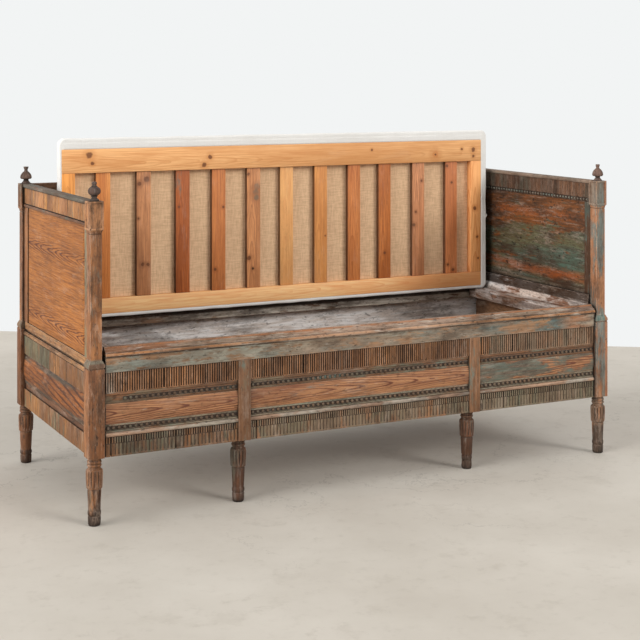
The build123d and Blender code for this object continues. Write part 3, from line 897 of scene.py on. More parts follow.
def pearls(name: str, first: float, last: float, y: float, z: float, radius: float) -> Piece:
    """Make a row of pearls along X, from one pearl and an array.

    Args:
        name: The row's name.
        first: X of the first pearl.
        last: The X that the last pearl stays under.
        y: Y of the row.
        z: Its height.
        radius: The radius of a pearl.

    Returns:
        The row.
    """
    pick_nothing()
    bpy.ops.mesh.primitive_uv_sphere_add(segments=10, ring_count=7, radius=radius, location=(first, y, z))
    pearl = bpy.context.object
    pearl.name = name
    bpy.ops.object.transform_apply(location=True, rotation=True, scale=True)
    count = int((last - first) / PEARL_PITCH) + 1
    return smooth(repeated(pearl, count, PEARL_PITCH), 80)


def swapped(piece: Piece, side: float, face: float) -> Piece:
    """Turn a piece made along X, facing -Y, so that it runs along Y and faces one side.

    Args:
        piece: The piece, made with Y as its distance behind the face.
        side: 1 to face +X, or -1 to face -X.
        face: X of the face.

    Returns:
        The same piece.
    """
    for vertex in piece.data.vertices:
        along, depth, up = vertex.co
        vertex.co = (face - side * depth, along, up)
    pick_only(piece)
    bpy.ops.object.mode_set(mode="EDIT")
    bpy.ops.mesh.select_all(action="SELECT")
    bpy.ops.mesh.normals_make_consistent(inside=False)
    bpy.ops.object.mode_set(mode="OBJECT")
    return piece


# ------------------------------------------------------------------ posts and legs
@dataclass
class TurnedLeg:
    """The turned leg under a block: foot ring, tapered shaft, reeded drum and rings."""

    reeds: int = 14
    sides: int = 84
    drum: Pair = (0.1135, 0.163)
    groove: float = 0.12
    foot: Pair = (0.001, 0.047)
    broken: bool = False

    def profile(self) -> list[Pair]:
        """Return the radius and height of each ring, from the floor up."""
        return [
            (0.0150, 0.0), (0.0178, 0.003), (0.0186, 0.010), (0.0190, 0.026), (0.0176, 0.029),
            (0.0192, 0.032), (0.0198, 0.037), (0.0194, 0.042), (0.0180, 0.045), (0.0182, 0.050),
            (0.0195, 0.080), (0.0204, 0.104), (0.0192, 0.1070), (0.0206, 0.1080), (0.0228, 0.1098),
            (0.0236, 0.1130), (0.0240, 0.1220), (0.0244, 0.1320), (0.0248, 0.1420), (0.0250, 0.1520),
            (0.0248, 0.1590), (0.0240, 0.1632), (0.0206, 0.1662), (0.0184, 0.1690), (0.0186, 0.1720),
            (0.0206, 0.1738), (0.0216, 0.1768), (0.0206, 0.1800), (0.0188, 0.1815), (0.0204, 0.1838),
            (0.0213, 0.1868), (0.0204, 0.1900), (0.0188, 0.1920), (0.0192, 0.1985),
        ]

    def build(self, name: str, x: float, y: float) -> Piece:
        """Turn the leg and cut the reeds into its drum.

        Args:
            name: The leg's name.
            x: Its axis in X.
            y: Its axis in Y.

        Returns:
            The leg.
        """
        leg = turned(name, (x, y), self.profile(), self.sides)
        per_reed = self.sides // self.reeds
        low, high = self.drum
        for vertex in leg.data.vertices:
            if not low < vertex.co.z < high:
                continue
            turn = round(math.atan2(vertex.co.y - y, vertex.co.x - x) / math.tau * self.sides) % per_reed
            depth = self.groove if turn == 0 else (0.018 if turn in (1, per_reed - 1) else 0.0)
            vertex.co.x = x + (vertex.co.x - x) * (1 - depth)
            vertex.co.y = y + (vertex.co.y - y) * (1 - depth)
        if self.broken:
            self.break_foot(leg, x, y)
        return smooth(leg, 38)

    def break_foot(self, leg: Piece, x: float, y: float) -> None:
        """Split the foot's ring away in chips.

        Args:
            leg: The leg.
            x: Its axis in X.
            y: Its axis in Y.
        """
        low, high = self.foot
        for vertex in leg.data.vertices:
            if low < vertex.co.z < high:
                place = Vector((vertex.co.x * 130, vertex.co.y * 130, vertex.co.z * 40))
                chip = 0.84 + 0.30 * noise.noise(place)
                vertex.co.x = x + (vertex.co.x - x) * min(chip, 0.97)
                vertex.co.y = y + (vertex.co.y - y) * min(chip, 0.97)


@dataclass
class CornerPost:
    """A corner post: turned leg, block, moulded collar, chamfered shaft, neck and sunk top block."""

    name: str
    finish: OldPine
    block_half: float = BLOCK_HALF
    block_top: float = 0.4595
    shaft_half: float = 0.0178
    shaft_span: Pair = (0.480, 0.8535)
    chamfer: float = 0.007
    top_half: float = 0.022
    top_low: float = 0.866
    top_chamfer: float = 0.0055
    leg: TurnedLeg = field(default_factory=TurnedLeg)

    def square(self, part: str, centre: Pair, half: float, span: Pair) -> Piece:
        """Make a square length of the post.

        Args:
            part: What the length is called.
            centre: The post's axis in X and Y.
            half: Half the width of the square.
            span: The height of its bottom and top.

        Returns:
            The block.
        """
        x, y = centre
        return block(f"{self.name}_{part}", (x - half, y - half, span[0]), (x + half, y + half, span[1]))

    def shaft(self, centre: Pair) -> Piece:
        """Make the slim shaft between collar and neck, with its chamfers."""
        shaft = self.square("shaft", centre, self.shaft_half, self.shaft_span)
        return eased(bevelled(shaft, lambda edge: span_of(edge, Axis.Z) > 0.1, self.chamfer), 0.0008, 1)

    def collar(self, centre: Pair) -> Piece:
        """Make the moulded collar on top of the lower block."""
        half = self.block_half
        steps = [
            (half - 0.0005, 0.4590), (half - 0.0022, 0.4600), (half - 0.0022, 0.4615),
            (half - 0.0002, 0.4632), (half - 0.0002, 0.4700), (half - 0.0015, 0.4740),
            (half - 0.0040, 0.4790), (self.shaft_half + 0.0004, 0.4835),
        ]
        return turned(f"{self.name}_collar", centre, steps, 4)

    def top_block(self, centre: Pair) -> Piece:
        """Make the top block with chamfered corners and a sunk panel in each face."""
        made = self.square("top", centre, self.top_half, (self.top_low, RAIL_TOP))
        bevelled(made, lambda edge: span_of(edge, Axis.Z) > 0.05, self.top_chamfer)
        bpy.ops.object.mode_set(mode="EDIT")
        select_faces(made, lambda face: max(abs(face.normal.x), abs(face.normal.y)) > 0.98)
        bpy.ops.mesh.inset(thickness=0.0050, depth=0.0, use_individual=True)
        bpy.ops.mesh.inset(thickness=0.0014, depth=-0.0034, use_individual=True)
        bpy.ops.object.mode_set(mode="OBJECT")
        return made

    def neck(self, centre: Pair) -> Piece:
        """Make the square neck that spreads from the shaft to the top block."""
        half = self.shaft_half
        rings = [
            (half - 0.0012, 0.8515), (half - 0.0016, 0.8548), (half + 0.0004, 0.8556),
            (half + 0.0006, 0.8600), (half + 0.0014, 0.8630), (half + 0.0034, 0.8662),
        ]
        return turned(f"{self.name}_neck", centre, rings, 4)

    def build(self) -> None:
        """Make the whole post in place of its node."""
        centre = upright_axis(self.name)
        lower = self.square("block", centre, self.block_half, (CASE_LOW, self.block_top))
        pieces = [
            eased(lower, 0.0022),
            self.collar(centre),
            self.shaft(centre),
            eased(self.neck(centre), 0.0025, 2),
            eased(self.top_block(centre), 0.0007, 1),
            self.leg.build(f"{self.name}_leg", *centre),
        ]
        post = coat(smooth(joined(f"{self.name}_turned", pieces), 32), self.finish)
        hand_over(post, "frame", "worn_paint", self.name)


class FinialShape(Enum):
    """The three shapes that the turned finials have, as radius and height above the block."""

    FLARED = (
        (0.0150, 0.0), (0.0145, 0.003), (0.0100, 0.008), (0.0082, 0.012), (0.0090, 0.0145), (0.0170, 0.0160),
        (0.0192, 0.0185), (0.0194, 0.0220), (0.0180, 0.0280), (0.0150, 0.0335), (0.0110, 0.0380),
        (0.0068, 0.0415), (0.0056, 0.0440), (0.0060, 0.0480), (0.0078, 0.0530), (0.0088, 0.0560),
        (0.0084, 0.0570),
    )
    BALL = (
        (0.0140, 0.0), (0.0140, 0.004), (0.0118, 0.006), (0.0080, 0.009), (0.0078, 0.012), (0.0105, 0.0140),
        (0.0088, 0.0160), (0.0125, 0.0180), (0.0172, 0.0220), (0.0188, 0.0270), (0.0184, 0.0290),
        (0.0188, 0.0310), (0.0172, 0.0360), (0.0125, 0.0405), (0.0085, 0.0420), (0.0096, 0.0438),
        (0.0062, 0.0455), (0.0064, 0.0480), (0.0078, 0.0515), (0.0070, 0.0550), (0.0040, 0.0570),
    )
    CONE = (
        (0.0150, 0.0), (0.0145, 0.003), (0.0100, 0.008), (0.0080, 0.012), (0.0090, 0.0145), (0.0168, 0.0165),
        (0.0188, 0.0195), (0.0190, 0.0235), (0.0174, 0.0300), (0.0140, 0.0360), (0.0096, 0.0405),
        (0.0064, 0.0430), (0.0054, 0.0455), (0.0064, 0.0500), (0.0072, 0.0540), (0.0066, 0.0568),
    )


@dataclass
class Posts:
    """The four corner posts and their finials."""

    warm: OldPine = OldPine(
        "post_warm", Axis.Z, pale=tone(176, 120, 76), dark=tone(98, 58, 36), paint=tone(112, 108, 92),
        cover=0.27, grime_and_shade=0.8, stain=0.70, wear=0.75, piths=(-0.905,), seed=1.7,
        bands=(Band(Axis.Z, 0.462, 0.486, tone(112, 110, 96), 0.9),
               Band(Axis.Z, -0.01, 0.196, tone(92, 60, 40), 0.8),
               Band(Axis.Z, -0.01, 0.108, tone(36, 14, 4), 0.95),
               Band(Axis.Z, -0.01, 0.046, SOOT, 0.7, 0.004),
               Band(Axis.Y, -0.4075, -0.4045, tone(104, 66, 44), 0.7, 0.001),
               Band(Axis.Z, 0.864, 0.952, tone(196, 140, 96), 0.65, 0.004)))
    back: OldPine = OldPine(
        "post_back", Axis.Z, pale=tone(178, 122, 80), dark=tone(90, 56, 38), paint=tone(92, 94, 82),
        second_paint=tone(104, 98, 86), grime_and_shade=0.75, wear=0.9, piths=(-0.905,), seed=6.1,
        fades=(Fade(Axis.Z, 0.86, 0.95, 0.5),),
        bands=(Band(Axis.Z, 0.462, 0.486, tone(108, 98, 82), 0.7),
               Band(Axis.Z, -0.01, 0.196, tone(92, 58, 40), 0.7),
               Band(Axis.Z, 0.198, 0.458, tone(92, 50, 20), 0.8),
               Band(Axis.Z, -0.01, 0.046, SOOT, 0.75, 0.004)))
    cool: OldPine = OldPine(
        "post_cool", Axis.Z, pale=tone(174, 122, 86), dark=tone(98, 66, 50), paint=tone(106, 122, 118),
        second_paint=tone(138, 122, 106), cover=0.62, grime_and_shade=0.75, stain=0.5, wear=0.9, seed=4.1,
        fades=(Fade(Axis.Z, 0.50, 0.56, -0.15), Fade(Axis.Z, 0.858, 0.868, 0.40)),
        bands=(Band(Axis.Z, 0.462, 0.486, BLUE_GREEN, 0.8),
               Band(Axis.Z, -0.01, 0.105, tone(46, 40, 34), 0.88, 0.012),
               Band(Axis.Z, 0.105, 0.196, tone(84, 70, 58), 0.75),
               Band(Axis.X, 0.925, 0.9375, tone(176, 104, 60), 0.6, 0.002)))
    knob: OldPine = OldPine(
        "finial_brown", Axis.Z, pale=tone(118, 92, 80), dark=tone(62, 46, 40), paint=tone(86, 84, 76),
        second_paint=tone(94, 76, 72), cover=0.45, grime_and_shade=0.9, seed=2.2)

    def finials(self) -> None:
        """Turn the four finials, each to its own shape."""
        pieces = []
        for node, shape in (("front_left_post", FinialShape.BALL), ("back_left_post", FinialShape.FLARED),
                            ("front_right_post", FinialShape.CONE), ("back_right_post", FinialShape.CONE)):
            rings = [(radius, RAIL_TOP + height) for radius, height in shape.value]
            pieces.append(smooth(turned(f"{node}_finial", upright_axis(node), rings, 40), 40))
        made = coat(joined("turned_finials", pieces), self.knob)
        hand_over(made, "frame", "worn_paint", "corner_finials")

    def build(self) -> None:
        """Make all four posts and their finials."""
        for name, finish in (("front_left_post", self.warm), ("back_left_post", self.back),
                             ("front_right_post", self.cool), ("back_right_post", self.back)):
            CornerPost(name, finish).build()
        self.finials()


# ------------------------------------------------------------------ the two ends
@dataclass
class BenchEnd:
    """One end: capped top rail, raised panel, seat rail and the lower case with its boards."""

    word: str
    side: float
    half_depth: float = 0.360
    cap_half: float = 0.017
    cap_low: float = 0.938
    inner_face: float = -0.013
    panel_half: float = 0.007
    plank_back: float = 0.006
    joint_half: float = 0.0010
    upper_strip: Pair = (0.376, 0.438)
    lower_strip: Pair = (CASE_LOW, 0.258)
    core_span: Pair = (0.872, 0.940)
    fascia_span: Pair = (0.885, 0.937)
    bead_span: Pair = (0.8735, 0.8825)
    reed_span: Pair = (0.888, 0.939)
    reeds_half: float = 0.358
    pearls_half: float = 0.350
    pearl_height: float = 0.8805
    pearl_radius: float = 0.0042
    joints: tuple[float, ...] = (-0.357, -0.154, -0.057, 0.083, 0.122, 0.236, 0.357)
    lower_joints: tuple[float, ...] = (
        -0.357, -0.251, -0.142, -0.064, -0.019, 0.050, 0.193, 0.280, 0.357)

    def cap_finish(self) -> OldPine:
        """Return the painted finish of the cap."""
        return OldPine("cap_grey_green", Axis.Y, pale=tone(124, 90, 70), paint=tone(109, 100, 89),
                       second_paint=tone(97, 96, 87), cover=0.8, grime_and_shade=0.7, stain=0.4, seed=5.0,
                       bands=(Band(Axis.X, 0.85, 0.95, tone(182, 158, 138), 0.30, 0.010),))

    def bead_finish(self) -> OldPine:
        """Return the brown finish of the bead under the outer boards."""
        return OldPine("bead_brown", Axis.Y, pale=tone(136, 94, 64), dark=tone(80, 52, 38),
                       paint=tone(98, 94, 80), cover=0.35, grime_and_shade=0.9, seed=5.7)

    def upright_finish(self, index: int) -> OldPine:
        """Return the finish of one of the fascia's upright boards.

        Args:
            index: Which board it is.

        Returns:
            The finish, one of three.
        """
        shades = (tone(204, 144, 84), tone(193, 137, 89), tone(212, 153, 93))
        shade = index % len(shades)
        return OldPine(f"fascia_upright_{shade}", Axis.Z, pale=shades[shade], dark=tone(106, 62, 38),
                       chalk=0.06, cover=0.08, grime_and_shade=0.8, stain=0.5, flame=0.7, seed=6.3 + 1.7 * shade)

    def inner_finish(self) -> OldPine:
        """Return the dark finish of the reeding inside the top rail."""
        ground = sorted((self.outward(-0.0108), self.outward(-0.006)))
        return OldPine(f"reeding_inner_{self.word}", Axis.Z, pale=tone(136, 96, 70), dark=tone(72, 52, 40),
                       paint=tone(98, 98, 84), second_paint=tone(124, 100, 84), cover=0.5, grime_and_shade=0.7,
                       seed=7.9,
                       # The band paints the bottoms of the grooves near-black: painted shade and grime in the
                       # reeding.
                       bands=(Band(Axis.X, ground[0], ground[1], SOOT, 0.85, 0.0005, True),))

    def outward(self, offset: float) -> float:
        """Return X at an offset from the post axis, outwards positive."""
        return self.side * (POST_AXIS + offset)

    def slab(self, name: str, inner: float, outer: float, y: Pair, z: Pair, edge: float = 0.0012) -> Piece:
        """Make a board of this end.

        Args:
            name: The board's name.
            inner: The offset of its inner face from the post axis.
            outer: The offset of its outer face.
            y: Its two ends.
            z: Its bottom and top.
            edge: The width of its easing.

        Returns:
            The board.
        """
        across = sorted((self.outward(inner), self.outward(outer)))
        return board(name, (across[0], y[0], z[0]), (across[1], y[1], z[1]), edge)

    def planks(self, name: str, joints: Sequence[float], outer: float, z: Pair,
               finish: Callable[[int], OldPine]) -> list[Piece]:
        """Make upright boards side by side along the end.

        Args:
            name: What each board is called.
            joints: Y of each joint between them, and of the two ends.
            outer: The offset of their outer faces from the post axis.
            z: Their bottom and top.
            finish: What gives the finish of each board by its index.

        Returns:
            The boards.
        """
        made = []
        for index, (near, far) in enumerate(zip(joints, joints[1:])):
            reach = (near + self.joint_half, far - self.joint_half)
            made.append(coat(self.slab(name, self.plank_back, outer, reach, z), finish(index)))
        return made

    def turned_inwards(self, piece: Piece, finish: OldPine) -> Piece:
        """Turn a piece made along X to the inner face of this end, and give it its finish."""
        return coat(swapped(piece, -self.side, self.outward(self.inner_face)), finish)

    def top_rail(self) -> None:
        """Make the top rail: cap, core, outer boards, inner reeding and pearls."""
        name = f"{self.word}_top_rail"
        depth = (-self.half_depth, self.half_depth)
        cap = self.slab(f"{name}_cap", -self.cap_half, self.cap_half, depth, (self.cap_low, RAIL_TOP), 0.0045)
        coat(cap, self.cap_finish())
        core = coat(self.slab(f"{name}_core", -0.0085, 0.008, depth, self.core_span), self.inner_finish())
        fascia = self.planks(f"{name}_fascia", self.joints, 0.0115, self.fascia_span, self.upright_finish)
        bead = self.slab(f"{name}_bead", 0.004, 0.0143, depth, self.bead_span, 0.003)
        coat(bead, self.bead_finish())
        run = reeded(f"{name}_reeds", -self.reeds_half, self.reeds_half, 0.0, 0.006, *self.reed_span)
        run = self.turned_inwards(run, self.inner_finish())
        row = pearls(f"{name}_pearls", -self.pearls_half, self.pearls_half, 0.0045, self.pearl_height,
                     self.pearl_radius)
        row = self.turned_inwards(row, self.pearl_finish())
        rail = joined(f"{name}_dressed", [cap, core, *fascia, bead, run, row])
        hand_over(rail, "frame", "bare_pine", name)

    def pearl_finish(self) -> OldPine:
        """Return the pale, dusty finish of the pearls inside."""
        return OldPine("pearls_inner", Axis.Y, pale=tone(150, 138, 122), dark=tone(96, 84, 72),
                       paint=tone(140, 136, 122), cover=0.6, seed=3.3)

    def panel(self) -> None:
        """Make the solid panel with a bevelled, raised field outside and inside."""
        name = f"{self.word}_end_panel"
        low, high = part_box(name)
        inner, outer = sorted((self.outward(-self.panel_half), self.outward(self.panel_half)))
        made = block(f"{name}_board", (inner, low.y, low.z), (outer, high.y, high.z))
        bpy.ops.object.mode_set(mode="EDIT")
        for sign, rise in ((self.side, 0.004), (-self.side, 0.003)):
            select_faces(made, lambda face: face.normal.x * sign > 0.9)
            bpy.ops.mesh.inset(thickness=0.012, depth=0.0)
            bpy.ops.mesh.inset(thickness=0.010, depth=rise)
        bpy.ops.object.mode_set(mode="OBJECT")
        smooth(made, 20)
        if self.side < 0:
            finish = OldPine("end_panel_bare", Axis.Y, pale=tone(173, 110, 53), dark=tone(90, 42, 15),
                             cover=0.0, piths=(0.531, 0.760), pith_depth=-0.917, ring_gap=0.007, climb=0.09,
                             drift=0.22, flame=2.6, flame_reach=0.024, stain=0.2, grime_and_shade=0.8, seed=0.4)
        else:
            finish = OldPine(
                "end_panel_painted", Axis.Y, pale=tone(125, 74, 37), dark=tone(58, 37, 22),
                paint=tone(89, 91, 66), second_paint=tone(71, 95, 83), cover=0.70,
                fades=(Fade(Axis.Z, 0.74, 0.82, -0.55),),
                bands=(Band(Axis.Z, 0.582, 0.614, tone(146, 74, 32), 0.80, 0.014),
                       Band(Axis.Z, 0.794, 0.822, tone(150, 80, 40), 0.45, 0.016),
                       Band(Axis.Z, 0.480, 0.566, tone(54, 42, 33), 0.80, 0.008),
                       Band(Axis.Z, 0.548, 0.560, tone(158, 138, 116), 0.40, 0.005)),
                ring_gap=0.012, flame=0.9, flame_reach=0.5, grime_and_shade=0.9, stain=0.85, chalk=0.05, seed=8.4)
        coat(made, finish)
        hand_over(made, "frame", "bare_pine", name)

    def strip_finish(self, level: str, index: int) -> OldPine:
        """Return the finish of one upright board of the lower case.

        Args:
            level: Whether it is in the upper or the lower strip.
            index: Which board of the strip it is.

        Returns:
            The finish, with paint left at the back of the upper strip.
        """
        painted = level == "upper" and self.lower_joints[index] > 0.04
        cover = {"upper": 0.10, "lower": 0.34}[level] + (0.62 if painted else 0.0)
        return OldPine(
            f"{level}_strip_{'painted' if painted else 'bare'}", Axis.Z, pale=tone(163, 114, 67),
            dark=tone(96, 59, 37), paint=tone(122, 117, 91), second_paint=tone(103, 106, 86), cover=cover,
            grime_and_shade=0.9, stain=0.5, flame=0.8, chalk=0.06, seed=9.1 + cover)

    def lower_case(self) -> None:
        """Make the upright boards of the upper and lower strips, and dress what is behind."""
        for level, span in (("upper", self.upper_strip), ("lower", self.lower_strip)):
            name = f"{self.word}_side_{level}_strip"
            finish = partial(self.strip_finish, level)
            pieces = self.planks(f"{name}_plank", self.lower_joints, 0.0128, span, finish)
            hand_over(joined(f"{name}_planks", pieces), "frame", "bare_pine", name)
        cushion = OldPine(
            f"side_panel_{self.word}", Axis.Y, pale=tone(196, 119, 55), dark=tone(79, 42, 23), cover=0.04,
            piths=(0.430,), pith_depth=-0.915, ring_gap=0.021, climb=0.11, flame=1.6, flame_reach=1.0,
            grime_and_shade=0.8, seed=1.1,
            bands=(Band(Axis.Z, 0.268, 0.289, tone(76, 72, 62), 0.85),
                   Band(Axis.Z, 0.357, 0.378, tone(74, 68, 58), 0.85)))
        dress_node(f"{self.word}_side_panel", cushion)
        rail = OldPine(f"seat_rail_{self.word}", Axis.Y, pale=tone(193, 144, 96), dark=tone(119, 80, 52),
                       paint=tone(134, 126, 102), cover=0.25, grime_and_shade=0.9, wear=1.0, seed=2.9)
        dress_node(f"{self.word}_seat_rail", rail)
        inner = OldPine("side_board", Axis.Y, pale=tone(124, 84, 58), dark=tone(72, 48, 35), cover=0.16,
                        paint=tone(170, 156, 140), seed=3.5)
        dress_node(f"{self.word}_side_board", inner)
        ledge = OldPine(
            f"seat_ledge_{self.word}", Axis.Y, pale=tone(152, 110, 86), dark=tone(80, 56, 45),
            paint=tone(252, 252, 252), second_paint=tone(233, 217, 205), cover=0.60, grime_and_shade=0.7,
            bands=(Band(Axis.Z, 0.516, 0.550, tone(46, 29, 16), 0.94, 0.003),
                   Band(Axis.Z, 0.440, 0.489, tone(88, 62, 46), 0.75, 0.003)),
            wear=1.0, seed=4.6)
        dress_node(f"{self.word}_seat_ledge", ledge)

    def build(self) -> None:
        """Make the whole end."""
        self.top_rail()
        self.panel()
        self.lower_case()


@dataclass
class EndStiles:
    """The four slim uprights between the posts and the end panels."""

    half: float = 0.0108
    reach: Pair = (0.3205, 0.3645)
    span: Pair = (0.484, 0.872)

    def finish(self, side: int, end: int) -> OldPine:
        """Return the finish of one upright: painted, brown, or dark on the right.

        Args:
            side: -1 for the left end, 1 for the right end.
            end: -1 for the front, 1 for the back.

        Returns:
            The finish.
        """
        if side > 0:
            return OldPine("end_stile_dark", Axis.Z, pale=tone(88, 60, 42), dark=tone(48, 34, 26),
                           paint=tone(62, 64, 56), cover=0.45, grime_and_shade=0.9, seed=5.5)
        name, cover = ("end_stile_painted", 0.66) if end < 0 else ("end_stile_brown", 0.20)
        return OldPine(name, Axis.Z, pale=tone(172, 116, 71), dark=tone(101, 62, 41),
                       paint=tone(162, 153, 121), second_paint=tone(133, 129, 102), cover=cover, grime_and_shade=0.8,
                       chalk=0.06, seed=5.5)

    def build(self) -> None:
        """Make the four boards, each with its own share of paint."""
        pieces = []
        for side in (-1, 1):
            for end in (-1, 1):
                x = side * POST_AXIS
                near, far = sorted(end * place for place in self.reach)
                plank = board("end_stile", (x - self.half, near, self.span[0]),
                              (x + self.half, far, self.span[1]), 0.001)
                pieces.append(coat(plank, self.finish(side, end)))
        hand_over(joined("end_stile_boards", pieces), "frame", "bare_pine", "end_stiles")


# ------------------------------------------------------------------ back, bearers and slats
@dataclass
class BackAndBase:
    """The back, its ledge, and the bearers and slats inside the box."""

    limewash: OldPine = OldPine(
        "box_limewash", Axis.X, pale=tone(231, 193, 146), dark=tone(150, 117, 87),
        paint=tone(252, 252, 252), second_paint=tone(252, 252, 252), cover=0.88, grime_and_shade=0.15, stain=0.5,
        chalk=0.05, seed=6.6,
        bands=(Band(Axis.X, -0.90, -0.56, tone(112, 84, 66), 0.7, 0.12),
               Band(Axis.Y, 0.372, 0.385, tone(118, 84, 60), 0.95, 0.001, True)))
    ledge: OldPine = OldPine(
        "back_ledge", Axis.X, pale=tone(150, 120, 96), dark=tone(84, 64, 50), paint=tone(214, 208, 196),
        second_paint=tone(180, 172, 158), cover=0.66, grime_and_shade=0.5, stain=0.7, seed=7.7,
        # The near-black band along the top of the ledge is painted shadow from the lid above.
        bands=(Band(Axis.Z, 0.4740, 0.4950, SOOT, 0.9, 0.0030, True),
               Band(Axis.X, -0.90, -0.50, tone(96, 70, 54), 0.7, 0.12)))
    hidden: OldPine = OldPine(
        "box_pine", Axis.Y, pale=tone(158, 118, 84), dark=tone(104, 74, 52), cover=0.05, grime_and_shade=0.4,
        seed=8.8)
    outer: OldPine = OldPine(
        "back_pine", Axis.X, pale=tone(150, 108, 78), dark=tone(90, 62, 46), cover=0.12, grime_and_shade=0.5,
        seed=9.9)

    def build(self) -> None:
        """Dress the nodes of the back and the base, and ease the visible boards."""
        dress_node("back_lower_board", self.limewash)
        dress_node("back_top_rail", self.outer)
        remade_board("back_seat_ledge", self.ledge, "frame", "old_box_pine")
        for node in ("back_bearer", "middle_bearer", "left_runner", "right_runner"):
            remade_board(node, self.hidden, "frame", "old_box_pine")
        dress_node("back_panel_boards", self.outer)
        dress_node("fixed_bed_slats", self.hidden)


# ------------------------------------------------------------------ sliding front section
END_SHADE = (Band(Axis.X, 0.8800, 0.8840, SOOT, 0.8, 0.0012, True),
             Band(Axis.X, -0.8840, -0.8812, SOOT, 0.7, 0.0010, True))


